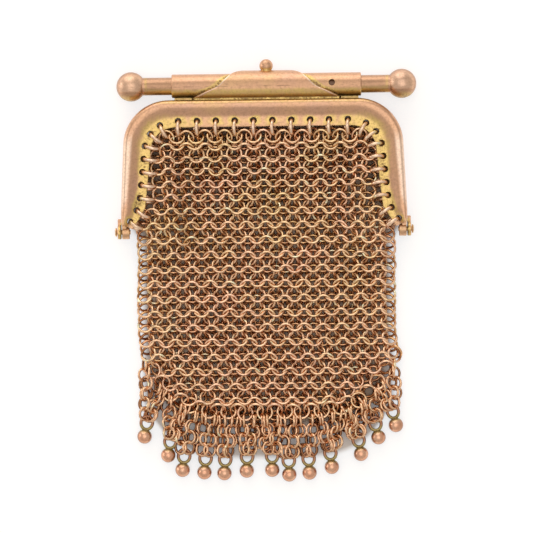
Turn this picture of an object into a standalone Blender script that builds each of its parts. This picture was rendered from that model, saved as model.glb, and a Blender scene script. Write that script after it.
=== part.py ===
"""A small gold mesh purse, lying closed on its back.

Two sheet-metal frame leaves are hinged at their feet and close against each other. The back leaf
carries a tube with a sliding, ball-ended clasp bar. The front leaf carries a tongue that lies over the
tube, with a thumb ball on its tip. A mesh bag hangs from both leaves on rings, and ends in a fringe
with thirteen drops.

+X is to the right and +Y towards the clasp. +Z is up, away from the surface that the purse lies on.
"""

import math

import bmesh
import bpy
from mathutils import Matrix, Vector

MM = 0.001

# Frame leaves
FRAME_HALF_WIDTH = 24.3 * MM
FRAME_SPLAY = 0.5 * MM
ARCH_HEIGHT = 22.3 * MM
SHOULDER_RADIUS = 7.8 * MM
LEAF_WIDTH = 4.6 * MM
LEAF_FOOT_WIDTH = 4.1 * MM
INNER_RADIUS = 4.3 * MM
LEAF_RISE = 2.55 * MM
LEAF_SHEET = 0.45 * MM
LEAF_SPLIT = 0.3 * MM
FOOT_CUT_HEIGHT = 4.0 * MM
FOOT_CUT_WIDTH = 2.2 * MM
FOOT_LEVEL = 1.35 * MM
# The frame sits a little left of the clasp's middle.
FRAME_MIDDLE_X = -0.65 * MM

# Hinges
KNUCKLE_RADIUS = 1.2 * MM
PIN_RADIUS = 0.4 * MM
PIN_CLEARANCE = 0.12 * MM
INNER_KNUCKLE_LENGTH = 1.25 * MM
OUTER_KNUCKLE_LENGTH = 0.63 * MM
PIN_HEAD_RADIUS = 0.75 * MM
PIN_HEAD_LENGTH = 0.35 * MM
KNUCKLE_GAP = 0.15 * MM

# Clasp
TUBE_RADIUS = 2.0 * MM
TUBE_LENGTH = 32.2 * MM
TUBE_RISE = 2.4 * MM
BAR_RADIUS = 1.5 * MM
BAR_CLEARANCE = 0.15 * MM
BAR_BALL_RADIUS = 2.5 * MM
BAR_BALL_SPACING = 46.0 * MM
TONGUE_SHEET = 0.38 * MM
TONGUE_CLEARANCE = 0.15 * MM
TONGUE_HALF_WIDTH = 12.7 * MM
THUMB_BALL_RADIUS = 1.15 * MM
THUMB_BALL_STANDOFF = 0.75 * MM
SIGHT_HOLE_RADIUS = 0.55 * MM
SIGHT_HOLE_X = 11.1 * MM

# Rings that tie the mesh to the leaves
RING_RADIUS = 1.25 * MM
RING_WIRE = 0.27 * MM
RING_HOLE_CLEARANCE = 0.3 * MM
HOLE_MARGIN = 1.0 * MM
HOLE_END_MARGIN = 0.9 * MM
RING_PITCH_TOP = 3.2 * MM
RINGS_TOP = 6
RINGS_SIDE = 8
MESH_HOLE_CLEARANCE = 0.15 * MM
# The rings of the two leaves lean opposite ways, and so pass each other.
RING_LEAN = 13

# Mesh bag
BAG_HALF_WIDTH = 22.4 * MM
BAG_DROP = 32.0 * MM
BAG_CORNER_LIFT = 10.9 * MM
MESH_THICKNESS = 1.1 * MM
MESH_EDGE_GAP = 0.3 * MM
LAYER_GAP = 0.3 * MM
EDGE_FLAT = 2.4 * MM
FRONT_SAG_LENGTH = 7.0 * MM
BACK_SAG_LENGTH = 4.0 * MM

# Fringe and drops
FRINGE_THICKNESS = 2.2 * MM
FRINGE_HEAD = 1.4 * MM
DROP_LENGTH = 9.3 * MM
STRAND_END_WIDTH = 1.7 * MM
STRAND_GAP = 0.5 * MM
END_LINK_RADIUS = 0.95 * MM
DROP_BALL_RADIUS = 1.25 * MM
BAIL_HALF_WIDTH = 0.9 * MM
BAIL_HALF_HEIGHT = 1.3 * MM
BAIL_WIRE = 0.24 * MM
BAIL_STANDOFF = 0.85 * MM
BAIL_CLEARANCE = 0.12 * MM

FLOOR_CLEARANCE = 0.02 * MM
ROUND_SIDES = 16
LINK_SIDES = 10
WIRE_SIDES = 5
HOLE_SIDES = 6

# Leaf section from the outer edge to the inner edge: share of the leaf's width, share of its rise.
# The first height is that of the split between the leaves and isn't in the table.
LEAF_SECTION = (
    (0.000, 0.510),
    (0.060, 0.840),
    (0.200, 1.000),
    (0.350, 0.920),
    (0.560, 0.660),
    (1.000, 0.627),
)

# Tongue outline: degrees round the tube from its underside through the front, share of the half width.
TONGUE_OUTLINE = (
    (16, 1.00),
    (36, 0.94),
    (60, 0.83),
    (85, 0.66),
    (113, 0.56),
    (142, 0.47),
    (165, 0.37),
    (185, 0.27),
    (200, 0.14),
)

# Sides of the bag below the hinges: share of the side's length, left and right shares of its half width.
BAG_SIDES = (
    (0.00, 1.000, 0.985),
    (0.25, 0.997, 0.960),
    (0.50, 0.990, 0.955),
    (0.75, 0.965, 0.988),
    (1.00, 0.945, 1.005),
)

# Drops from left to right: share of the bag's half width, share of the drop length below the seam's middle.
DROPS = (
    (-0.960, 0.30),
    (-0.782, 0.65),
    (-0.674, 0.92),
    (-0.509, 0.97),
    (-0.357, 0.99),
    (-0.187, 0.95),
    (0.007, 0.94),
    (0.136, 1.03),
    (0.290, 1.00),
    (0.460, 0.90),
    (0.683, 0.67),
    (0.817, 0.37),
    (0.951, 0.15),
)

# Worked-out places, before the whole purse is centred
MIDDLE_Z = LEAF_RISE
TUBE_Y = ARCH_HEIGHT + TUBE_RISE
INNER_TOP = ARCH_HEIGHT - LEAF_WIDTH
SHOULDER_HALF_WIDTH = FRAME_HALF_WIDTH - FRAME_SPLAY
INNER_SHOULDER = SHOULDER_HALF_WIDTH - LEAF_WIDTH
INNER_FOOT = FRAME_HALF_WIDTH - LEAF_FOOT_WIDTH
FLANGE_RISE = LEAF_SECTION[-1][1] * LEAF_RISE - LEAF_SHEET / 2
RING_DROP = RING_RADIUS + RING_WIRE + FLOOR_CLEARANCE - (MIDDLE_Z - FLANGE_RISE)
RING_RISE = FLANGE_RISE - RING_DROP
RING_REACH = math.sqrt(RING_RADIUS**2 - RING_DROP**2)
TONGUE_RADIUS = TUBE_RADIUS + TONGUE_CLEARANCE + TONGUE_SHEET / 2
THUMB_BALL_RISE = TONGUE_RADIUS + TONGUE_SHEET / 2 + THUMB_BALL_STANDOFF
SEAM_Y = -BAG_DROP
CENTRE_Y = (
    TUBE_Y
    + THUMB_BALL_RISE
    + THUMB_BALL_RADIUS
    + SEAM_Y
    - max(drop for _, drop in DROPS) * DROP_LENGTH
    - DROP_BALL_RADIUS
) / 2
HINGE_REACH = (
    FRAME_HALF_WIDTH
    + OUTER_KNUCKLE_LENGTH
    + PIN_CLEARANCE
    + PIN_HEAD_LENGTH
)
CENTRE_X = (BAR_BALL_SPACING / 2 + BAR_BALL_RADIUS + FRAME_MIDDLE_X - HINGE_REACH) / 2


def clear_scene():
    for obj in list(bpy.data.objects):
        bpy.data.objects.remove(obj, do_unlink=True)


def make_material(name, colour, roughness):
    material = bpy.data.materials.new(name)
    material.use_nodes = True
    shader = material.node_tree.nodes["Principled BSDF"]
    shader.inputs["Base Color"].default_value = (*colour, 1.0)
    shader.inputs["Roughness"].default_value = roughness
    shader.inputs["Metallic"].default_value = 1.0
    return material


def add_object(name, mesh, collection):
    obj = bpy.data.objects.new(name, mesh)
    collection.objects.link(obj)
    return obj


def helper_collection():
    """The collection for cutters and for pieces that are joined into another."""
    found = bpy.data.collections.get("cutters")
    if found is None:
        found = bpy.data.collections.new("cutters")
        found.hide_render = True
        bpy.context.scene.collection.children.link(found)
    return found


def helper(name, shape, matrix):
    """A helper object from a bmesh that already has its size, placed by the matrix."""
    mesh = bpy.data.meshes.new(name)
    shape.to_mesh(mesh)
    shape.free()
    mesh.transform(matrix)
    obj = add_object(name, mesh, helper_collection())
    obj.hide_render = True
    obj.display_type = "WIRE"
    return obj


def joined(name, pieces):
    """One helper that holds several separate helpers."""
    shape = bmesh.new()
    for piece in pieces:
        shape.from_mesh(piece.data)
        bpy.data.objects.remove(piece, do_unlink=True)
    return helper(name, shape, Matrix.Identity(4))


def evaluated_mesh(obj):
    graph = bpy.context.evaluated_depsgraph_get()
    return bpy.data.meshes.new_from_object(obj.evaluated_get(graph))


def bake(obj):
    """Replaces the object's mesh by its evaluated mesh and drops the modifiers."""
    bpy.context.view_layer.update()
    mesh = evaluated_mesh(obj)
    obj.modifiers.clear()
    obj.data = mesh


def combine(obj, other, operation):
    """Cuts the other piece from the object, or joins it on, and removes the other piece."""
    modifier = obj.modifiers.new(operation.lower(), "BOOLEAN")
    modifier.operation = operation
    modifier.solver = "EXACT"
    modifier.object = other
    bake(obj)
    bpy.data.objects.remove(other, do_unlink=True)


def turned_to(direction):
    """The turn that carries +Z to the direction."""
    return Vector(direction).to_track_quat("Z", "Y").to_matrix().to_4x4()


def cylinder(radius, start, end, sides=ROUND_SIDES):
    start = Vector(start)
    end = Vector(end)
    shape = bmesh.new()
    bmesh.ops.create_cone(
        shape,
        cap_ends=True,
        segments=sides,
        radius1=radius,
        radius2=radius,
        depth=(end - start).length,
    )
    return helper("cylinder", shape, Matrix.Translation((start + end) / 2) @ turned_to(end - start))


def lathe(profile, middle, direction, sides=ROUND_SIDES):
    """A solid turned about a line, from (distance along it, radius) points. A first or last radius of
    0 closes that end in a point, and any other radius closes it flat."""
    shape = bmesh.new()
    rings = []
    for along, radius in profile:
        if radius == 0:
            rings.append([shape.verts.new((0, 0, along))])
            continue
        ring = []
        for index in range(sides):
            angle = 2 * math.pi * (index + 0.5) / sides
            ring.append(shape.verts.new((radius * math.cos(angle), radius * math.sin(angle), along)))
        rings.append(ring)
    for low, high in zip(rings, rings[1:]):
        for index in range(sides):
            after = (index + 1) % sides
            corners = [low[index % len(low)], low[after % len(low)]]
            corners += [high[after % len(high)], high[index % len(high)]]
            shape.faces.new(list(dict.fromkeys(corners)))
    for ring in (rings[0], rings[-1]):
        if len(ring) > 1:
            shape.faces.new(ring)
    bmesh.ops.recalc_face_normals(shape, faces=shape.faces)
    return helper("turned", shape, Matrix.Translation(middle) @ turned_to(direction))


def ball_profile(radius, centre, start, end, steps):
    """(distance, radius) points of a ball between two polar angles in degrees."""
    points = []
    for step in range(steps + 1):
        angle = math.radians(start + (end - start) * step / steps)
        across = 0 if round(math.degrees(angle)) % 180 == 0 else radius * math.sin(angle)
        points.append((centre - radius * math.cos(angle), across))
    return points


def box(low, high):
    low = Vector(low)
    high = Vector(high)
    shape = bmesh.new()
    bmesh.ops.create_cube(shape, size=1.0)
    return helper("box", shape, Matrix.Translation((low + high) / 2) @ Matrix.Diagonal((*(high - low), 1)))


def ball(radius, centre, sides, rings, axis=(0, 0, 1)):
    shape = bmesh.new()
    bmesh.ops.create_uvsphere(shape, u_segments=sides, v_segments=rings, radius=radius)
    return helper("ball", shape, Matrix.Translation(centre) @ turned_to(axis))


def ring_mesh(radius, wire, stretch=1.0, sides=LINK_SIDES, wire_sides=WIRE_SIDES):
    """A wire ring about +Z. A stretch above 1 makes it longer along +Y."""
    bpy.ops.mesh.primitive_torus_add(
        major_segments=sides,
        minor_segments=wire_sides,
        major_radius=radius,
        minor_radius=wire,
    )
    obj = bpy.context.object
    mesh = obj.data.copy()
    bpy.data.objects.remove(obj, do_unlink=True)
    for vertex in mesh.vertices:
        around = Vector((vertex.co.x, vertex.co.y, 0)).normalized() * radius
        vertex.co.y += around.y * (stretch - 1)
    return mesh


def ring_helper(mesh, matrix):
    shape = bmesh.new()
    shape.from_mesh(mesh)
    return helper("ring", shape, matrix)


def sheet(name, rows, thickness, outward, offset, collection):
    """A wall of even thickness on a grid of points. outward says which way its outer faces look."""
    shape = bmesh.new()
    grid = [[shape.verts.new(point) for point in row] for row in rows]
    for upper, lower in zip(grid, grid[1:]):
        for a, b, c, d in zip(upper, upper[1:], lower[1:], lower):
            shape.faces.new((a, b, c, d))
    bmesh.ops.recalc_face_normals(shape, faces=shape.faces)
    middle = shape.faces[len(shape.faces) // 2]
    middle.normal_update()
    if middle.normal.dot(Vector(outward)) < 0:
        bmesh.ops.reverse_faces(shape, faces=shape.faces)
    mesh = bpy.data.meshes.new(name)
    shape.to_mesh(mesh)
    shape.free()
    obj = add_object(name, mesh, collection)
    wall = obj.modifiers.new("wall", "SOLIDIFY")
    wall.thickness = thickness
    wall.offset = offset
    wall.use_even_offset = True
    bake(obj)
    return obj


def smooth(share):
    """Eases from 0 to 1."""
    share = min(1.0, max(0.0, share))
    return share * share * (3 - 2 * share)


def between(table, share, column):
    """A column of a table, read between its rows by the first column."""
    for low, high in zip(table, table[1:]):
        if share <= high[0]:
            along = (share - low[0]) / (high[0] - low[0])
            return low[column] + max(0.0, along) * (high[column] - low[column])
    return table[-1][column]


def half_outer_path():
    """The leaf's outer edge from the foot to the middle of the top, right side, about the middle."""
    corner = Vector((SHOULDER_HALF_WIDTH - SHOULDER_RADIUS, ARCH_HEIGHT - SHOULDER_RADIUS))
    foot = Vector((FRAME_HALF_WIDTH, FOOT_LEVEL))
    cut = Vector((FRAME_HALF_WIDTH, FOOT_CUT_HEIGHT))
    shoulder = Vector((SHOULDER_HALF_WIDTH, corner.y))
    return with_corner([foot, (foot + cut) / 2, cut], shoulder, corner, SHOULDER_RADIUS)


def half_inner_path():
    """The leaf's inner edge, station for station with the outer one."""
    corner = Vector((INNER_SHOULDER - INNER_RADIUS, INNER_TOP - INNER_RADIUS))
    cut = Vector((INNER_FOOT, FOOT_CUT_HEIGHT))
    foot = Vector((INNER_FOOT + FOOT_CUT_WIDTH, FOOT_CUT_HEIGHT - 1.6 * FOOT_CUT_WIDTH))
    shoulder = Vector((INNER_SHOULDER, corner.y))
    return with_corner([foot, (foot + cut) / 2, cut], shoulder, corner, INNER_RADIUS)


def with_corner(low, shoulder, corner, radius):
    """The low points, the side up to the shoulder, the round corner and half of the top."""
    points = list(low)
    points.append((low[-1] + shoulder) / 2)
    points.append(shoulder)
    arc_steps = 5
    for step in range(1, arc_steps + 1):
        angle = math.pi / 2 * step / arc_steps
        points.append(corner + radius * Vector((math.cos(angle), math.sin(angle))))
    points.append(Vector((corner.x / 2, corner.y + radius)))
    points.append(Vector((0, corner.y + radius)))
    return points


def leaf(name, side, collection):
    """One leaf. side is 1 for the front leaf and -1 for the back one."""
    outer = half_outer_path()
    inner = half_inner_path()
    stations = list(zip(outer, inner))
    mirrored = [(Vector((-a.x, a.y)), Vector((-b.x, b.y))) for a, b in stations[-2::-1]]
    rows = []
    for edge, lip in stations + mirrored:
        heights = [(0.0, LEAF_SPLIT / 2)]
        heights += [(across, rise * LEAF_RISE) for across, rise in LEAF_SECTION]
        row = []
        for across, height in heights:
            point = edge.lerp(lip, across)
            row.append((FRAME_MIDDLE_X + point.x, point.y, MIDDLE_Z + side * height))
        rows.append(row)
    return sheet(name, rows, LEAF_SHEET, (0, 0, side), -1.0, collection)


def hole_places():
    """(place, inward direction) of each ring hole of a leaf, from the left foot to the right foot."""
    inner = half_inner_path()[::-1]
    line = []
    for index, point in enumerate(inner):
        before = inner[max(index - 1, 0)]
        after = inner[min(index + 1, len(inner) - 1)]
        along = (after - before).normalized()
        outward = Vector((-along.y, along.x))
        line.append((point + outward * HOLE_MARGIN, -outward))
    lengths = [0.0]
    for (low, _), (high, _) in zip(line, line[1:]):
        lengths.append(lengths[-1] + (high - low).length)
    stations = [RING_PITCH_TOP * (index + 0.5) for index in range(RINGS_TOP)]
    side_pitch = (lengths[-1] - HOLE_END_MARGIN - stations[-1]) / RINGS_SIDE
    stations += [stations[-1] + side_pitch * (index + 1) for index in range(RINGS_SIDE)]
    right = []
    for station in stations:
        index = max(i for i, length in enumerate(lengths[:-1]) if length <= station)
        share = (station - lengths[index]) / (lengths[index + 1] - lengths[index])
        place = line[index][0].lerp(line[index + 1][0], share)
        inward = line[index][1].lerp(line[index + 1][1], share).normalized()
        right.append((place, inward))
    left = [(Vector((-p.x, p.y)), Vector((-d.x, d.y))) for p, d in right[::-1]]
    middle = Vector((FRAME_MIDDLE_X, 0))
    return [(p + middle, d) for p, d in left + right]


def ring_matrix(place, inward, side):
    """Stands a ring about +Z up along the inward direction, leaning about the hole it passes."""
    along = Vector((inward.x, inward.y, 0))
    up = Vector((0, 0, 1))
    turn = Matrix((along, up, along.cross(up))).transposed().to_4x4()
    pivot = Vector((*place, MIDDLE_Z + side * (FLANGE_RISE + LEAF_SHEET / 2)))
    centre = Vector((*(place + inward * RING_REACH), MIDDLE_Z + side * RING_RISE))
    lean = Matrix.Rotation(math.radians(RING_LEAN), 4, along)
    return Matrix.Translation(pivot) @ lean @ Matrix.Translation(centre - pivot) @ turn


def cut_flange_holes(obj, side):
    radius = RING_WIRE + RING_HOLE_CLEARANCE
    low = MIDDLE_Z + side * LEAF_RISE * 0.3
    high = MIDDLE_Z + side * LEAF_RISE * 1.2
    cutters = [
        cylinder(radius, (*place, low), (*place, high), HOLE_SIDES) for place, _ in hole_places()
    ]
    combine(obj, joined("flange_holes", cutters), "DIFFERENCE")


def knuckle_span(side):
    """Distances from the frame's middle of a leaf's knuckle: the front one is the inner one."""
    if side > 0:
        end = FRAME_HALF_WIDTH - KNUCKLE_GAP
        return end - INNER_KNUCKLE_LENGTH, end
    return FRAME_HALF_WIDTH, FRAME_HALF_WIDTH + OUTER_KNUCKLE_LENGTH


def add_knuckles(obj, side):
    """A knuckle at each foot, with the tab that joins it to the leaf."""
    start, end = knuckle_span(side)
    tab_top = FOOT_LEVEL + LEAF_SHEET * 2
    wall_start = FRAME_HALF_WIDTH - LEAF_SHEET
    bore = PIN_RADIUS + PIN_CLEARANCE
    for hand in (-1, 1):

        def spot(distance, y, height, hand=hand):
            return (FRAME_MIDDLE_X + hand * distance, y, MIDDLE_Z + side * height)

        def block(start_x, end_x, low_y, high_y, low_z, high_z, spot=spot):
            corners = [spot(start_x, low_y, low_z), spot(end_x, high_y, high_z)]
            low = [min(a, b) for a, b in zip(*corners)]
            high = [max(a, b) for a, b in zip(*corners)]
            return box(low, high)

        barrel = cylinder(KNUCKLE_RADIUS, spot(start, 0, 0), spot(end, 0, 0), LINK_SIDES)
        tab_start = max(start, wall_start - LEAF_SHEET)
        tab_end = end - LEAF_SHEET * 0.15
        tab = block(tab_start, tab_end, KNUCKLE_RADIUS * 0.2, tab_top, KNUCKLE_RADIUS * 0.5, KNUCKLE_RADIUS)
        combine(barrel, tab, "UNION")
        if side < 0:
            # The outer knuckle stands beside the leaf's wall, so its tab reaches in over the barrel.
            reach = block(
                wall_start + LEAF_SHEET * 0.3,
                tab_end,
                KNUCKLE_RADIUS + KNUCKLE_GAP,
                tab_top,
                KNUCKLE_RADIUS * 0.4,
                KNUCKLE_RADIUS * 1.1,
            )
            combine(barrel, reach, "UNION")
        over = (spot(start - KNUCKLE_RADIUS, 0, 0), spot(end + KNUCKLE_RADIUS, 0, 0))
        hole = cylinder(bore, *over, LINK_SIDES)
        combine(barrel, hole, "DIFFERENCE")
        combine(obj, barrel, "UNION")


def add_tube(obj):
    """The clasp's tube, soldered along the top of the back leaf by a narrow web."""
    half = TUBE_LENGTH / 2
    tube = cylinder(TUBE_RADIUS, (-half, TUBE_Y, MIDDLE_Z), (half, TUBE_Y, MIDDLE_Z))
    web_half = half - LEAF_SHEET
    web = box(
        (-web_half, ARCH_HEIGHT - LEAF_SHEET * 0.6, MIDDLE_Z - TUBE_RADIUS * 0.5),
        (web_half, TUBE_Y - TUBE_RADIUS * 0.87, MIDDLE_Z - TUBE_RADIUS * 0.17),
    )
    combine(tube, web, "UNION")
    bore = BAR_RADIUS + BAR_CLEARANCE
    over = half + TUBE_RADIUS
    combine(tube, cylinder(bore, (-over, TUBE_Y, MIDDLE_Z), (over, TUBE_Y, MIDDLE_Z)), "DIFFERENCE")
    sight_y = TUBE_Y + TUBE_RADIUS * 0.13
    front_only = MIDDLE_Z + bore * 0.6
    hole = cylinder(
        SIGHT_HOLE_RADIUS,
        (SIGHT_HOLE_X, sight_y, front_only),
        (SIGHT_HOLE_X, sight_y, MIDDLE_Z + TUBE_RADIUS * 1.5),
        HOLE_SIDES,
    )
    combine(tube, hole, "DIFFERENCE")
    combine(obj, tube, "UNION")


def add_tongue(obj):
    """The front leaf's tongue, which lies over the tube, and the thumb ball on its tip."""
    across_steps = 4
    rows = []
    for degrees, share in TONGUE_OUTLINE:
        angle = math.radians(degrees)
        y = TUBE_Y - TONGUE_RADIUS * math.cos(angle)
        z = MIDDLE_Z + TONGUE_RADIUS * math.sin(angle)
        half = share * TONGUE_HALF_WIDTH
        rows.append([(half * (2 * i / across_steps - 1), y, z) for i in range(across_steps + 1)])
    tongue = sheet("tongue", rows, TONGUE_SHEET, (0, 0, 1), 0.0, helper_collection())
    inner = TONGUE_RADIUS - TONGUE_SHEET / 2
    root_half = TONGUE_HALF_WIDTH - TONGUE_SHEET
    root = box(
        (-root_half, ARCH_HEIGHT - LEAF_SHEET * 0.6, MIDDLE_Z + inner * 0.28),
        (root_half, TUBE_Y - inner * 0.975, MIDDLE_Z + inner * 0.65),
    )
    combine(tongue, root, "UNION")
    collar = THUMB_BALL_RADIUS * 0.8
    seam = math.degrees(math.asin(collar / THUMB_BALL_RADIUS))
    profile = [(TONGUE_RADIUS, collar)]
    profile += ball_profile(THUMB_BALL_RADIUS, THUMB_BALL_RISE, seam, 180, 5)
    combine(tongue, lathe(profile, (0, TUBE_Y, MIDDLE_Z), (0, 1, 0), 12), "UNION")
    combine(obj, tongue, "UNION")


def clasp_bar(collection):
    """The round bar that slides in the tube, with a ball soldered on each end."""
    half = BAR_BALL_SPACING / 2
    seam = math.degrees(math.asin(BAR_RADIUS / BAR_BALL_RADIUS))
    profile = ball_profile(BAR_BALL_RADIUS, -half, 0, 180 - seam, 5)
    profile += ball_profile(BAR_BALL_RADIUS, half, seam, 180, 5)
    bar = lathe(profile, (0, TUBE_Y, MIDDLE_Z), (1, 0, 0))
    return keep("clasp_bar", bar, collection)


def hinge_pin(name, hand, collection):
    """The pin through a hinge's knuckles, with a flat head outside the outer one."""
    start = knuckle_span(1)[0] - KNUCKLE_GAP
    head = knuckle_span(-1)[1] + PIN_CLEARANCE
    profile = [(start, PIN_RADIUS), (head, PIN_RADIUS), (head, PIN_HEAD_RADIUS)]
    profile.append((head + PIN_HEAD_LENGTH, PIN_HEAD_RADIUS))
    pin = lathe(profile, (FRAME_MIDDLE_X, 0, MIDDLE_Z), (hand, 0, 0), LINK_SIDES)
    return keep(name, pin, collection)


def keep(name, obj, collection):
    """Turns a helper into a piece of the purse."""
    obj.name = name
    obj.data.name = name
    obj.hide_render = False
    obj.display_type = "TEXTURED"
    helper_collection().objects.unlink(obj)
    collection.objects.link(obj)
    return obj


def seam_height(x):
    """The bag's lower edge: level in the middle and lifted at the corners."""
    share = min(1.0, abs(x) / (BAG_HALF_WIDTH * 0.975))
    return SEAM_Y + BAG_CORNER_LIFT * share**4.5


def bag_rows():
    """The bag's outline as rows of (x, y), from its top edge under the leaf to its lower seam."""
    columns = 10
    shares = [2 * index / columns - 1 for index in range(columns + 1)]
    radius = INNER_RADIUS - MESH_EDGE_GAP
    top = INNER_TOP - MESH_EDGE_GAP
    shoulder = INNER_SHOULDER - MESH_EDGE_GAP
    edges = []
    corner_steps = 3
    for step in range(corner_steps + 1):
        angle = math.pi / 2 * step / corner_steps
        x = shoulder - radius + radius * math.sin(angle)
        edges.append((x, x, top - radius + radius * math.cos(angle)))
    cut = INNER_FOOT - MESH_EDGE_GAP
    corner_end = top - radius
    side_steps = 3
    for step in range(1, side_steps + 1):
        share = step / side_steps
        x = shoulder + (cut - shoulder) * share
        edges.append((x, x, corner_end + (FOOT_CUT_HEIGHT - corner_end) * share))
    # The edge leaves the leaf's foot beside its slanted cut.
    foot_level = FOOT_CUT_HEIGHT - 1.6 * FOOT_CUT_WIDTH
    foot = cut + FOOT_CUT_WIDTH - MESH_EDGE_GAP / 2
    edges.append(((cut + foot) / 2, (cut + foot) / 2, (FOOT_CUT_HEIGHT + foot_level) / 2))
    edges.append((foot, foot, foot_level))
    rows = []
    for left, right, y in edges:
        rows.append([(FRAME_MIDDLE_X + s * (left if s < 0 else right), y) for s in shares])
    start = -KNUCKLE_RADIUS - MESH_EDGE_GAP
    drop_steps = 5
    for step in range(drop_steps + 1):
        along = step / drop_steps
        left = between(BAG_SIDES, along, 1) * BAG_HALF_WIDTH
        right = between(BAG_SIDES, along, 2) * BAG_HALF_WIDTH
        row = []
        for s in shares:
            x = s * (left if s < 0 else right)
            row.append((x, start + (seam_height(x) - start) * along))
        rows.append(row)
    return rows


def edge_share(x, y, length):
    """1 beside the edge that hangs from a leaf, easing to 0 over a length below that."""
    top = smooth(1 - (INNER_TOP - EDGE_FLAT - y) / length)
    half = INNER_SHOULDER + (INNER_FOOT - INNER_SHOULDER) * smooth(1 - y / INNER_TOP)
    side = smooth(1 - (half - EDGE_FLAT - abs(x - FRAME_MIDDLE_X)) / length)
    # Below the hinges nothing holds the sides up.
    side *= smooth(1 + y / (KNUCKLE_RADIUS * 6))
    return max(top, side)


def mesh_panel(name, side, low, sag_length, collection):
    """One wall of the bag. low is the height of its middle where it lies flat."""
    edge = MIDDLE_Z + side * RING_RISE
    rows = []
    for row in bag_rows():
        rows.append([(x, y, low + (edge - low) * edge_share(x, y, sag_length)) for x, y in row])
    return sheet(name, rows, MESH_THICKNESS, (0, 0, 1), 0.0, collection)


def cut_ring_passages(obj):
    """The holes beside the front panel's edge that its rings pass through."""
    half = MESH_THICKNESS / 2
    reach = math.sqrt(RING_RADIUS**2 - half**2)
    near = reach - RING_WIRE * RING_RADIUS / reach - MESH_HOLE_CLEARANCE
    far = RING_RADIUS + RING_WIRE + MESH_HOLE_CLEARANCE
    level = MIDDLE_Z + RING_RISE
    shift = (FLANGE_RISE + LEAF_SHEET / 2 - RING_RISE) * math.sin(math.radians(RING_LEAN))
    for place, inward in hole_places():
        sideways = Vector((-inward.y, inward.x))
        spot = place + inward * (RING_REACH + (near + far) / 2) + sideways * shift
        low = (*spot, level - 2 * MESH_THICKNESS)
        high = (*spot, level + 2 * MESH_THICKNESS)
        # One by one, because the passages of neighbouring rings may meet at a tight corner.
        passage = cylinder((far - near) / 2 + shift * 0.75, low, high, HOLE_SIDES)
        combine(obj, passage, "DIFFERENCE")


def drop_places():
    """(strand head, strand foot, ball centre) of each drop, as points on the surface plane."""
    places = []
    for across, down in DROPS:
        centre = Vector((across * BAG_HALF_WIDTH, SEAM_Y - down * DROP_LENGTH))
        head_x = 0.94 * centre.x
        head = Vector((head_x, seam_height(head_x) - MESH_EDGE_GAP))
        up = (head - centre).normalized()
        foot = BAIL_STANDOFF + 2 * BAIL_HALF_HEIGHT + BAIL_WIRE + BAIL_CLEARANCE
        places.append((head, centre + up * foot, centre))
    return places


def fringe_outline(places):
    """The comb's outline: along the seam from left to right, then back along the strands' feet."""
    steps = 12
    first = places[0][0].x - STRAND_END_WIDTH / 2
    last = places[-1][0].x + STRAND_END_WIDTH / 2
    points = []
    for step in range(steps + 1):
        x = first + (last - first) * step / steps
        points.append(Vector((x, seam_height(x) - MESH_EDGE_GAP)))
    feet = []
    for index, (head, foot, _) in enumerate(places):
        down = (foot - head).normalized()
        side = Vector((-down.y, down.x)) * STRAND_END_WIDTH / 2
        if index > 0:
            before = places[index - 1][0]
            valley_x = (before.x + head.x) / 2
            valley = Vector((valley_x, seam_height(valley_x) - MESH_EDGE_GAP - FRINGE_HEAD))
            gap = Vector((STRAND_GAP / 2, 0))
            feet += [valley - gap, valley + gap]
        feet += [foot - side, foot + side]
    return points + feet[::-1]


def fringe_mesh(collection):
    """The strands below the seam: a comb of thirteen strips on one head, each ending in a link."""
    places = drop_places()
    curve = bpy.data.curves.new("fringe_outline", "CURVE")
    curve.dimensions = "2D"
    curve.fill_mode = "BOTH"
    curve.extrude = FRINGE_THICKNESS / 2
    outline = fringe_outline(places)
    spline = curve.splines.new("POLY")
    spline.points.add(len(outline) - 1)
    for spot, point in zip(spline.points, outline):
        spot.co = (point.x, point.y, 0, 1)
    spline.use_cyclic_u = True
    flat = add_object("fringe_outline", curve, helper_collection())
    bpy.context.view_layer.update()
    mesh = evaluated_mesh(flat)
    bpy.data.objects.remove(flat, do_unlink=True)
    shape = bmesh.new()
    shape.from_mesh(mesh)
    bmesh.ops.remove_doubles(shape, verts=shape.verts, dist=0.01 * MM)
    bmesh.ops.recalc_face_normals(shape, faces=shape.faces)
    comb = helper("comb", shape, Matrix.Translation((0, 0, FRINGE_THICKNESS / 2)))
    link = ring_mesh(END_LINK_RADIUS, BAIL_WIRE, 1.0, 8, 4)
    level = END_LINK_RADIUS + BAIL_WIRE + FLOOR_CLEARANCE
    links = []
    for head, foot, _ in places:
        down = (foot - head).normalized()
        centre = foot + down * (END_LINK_RADIUS - BAIL_WIRE + FLOOR_CLEARANCE)
        links.append(ring_helper(link, strand_matrix(centre, down, level, True)))
    combine(comb, joined("links", links), "UNION")
    return keep("fringe_mesh", comb, collection)


def strand_matrix(centre, down, level, upright):
    """Places a ring about +Z on a strand: flat on the surface, or upright along the strand."""
    along = Vector((-down.x, -down.y, 0))
    up = Vector((0, 0, 1))
    side = along.cross(up)
    axes = (up, along, up.cross(along)) if upright else (side, along, side.cross(along))
    turn = Matrix(axes).transposed().to_4x4()
    return Matrix.Translation((centre.x, centre.y, level)) @ turn


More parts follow.
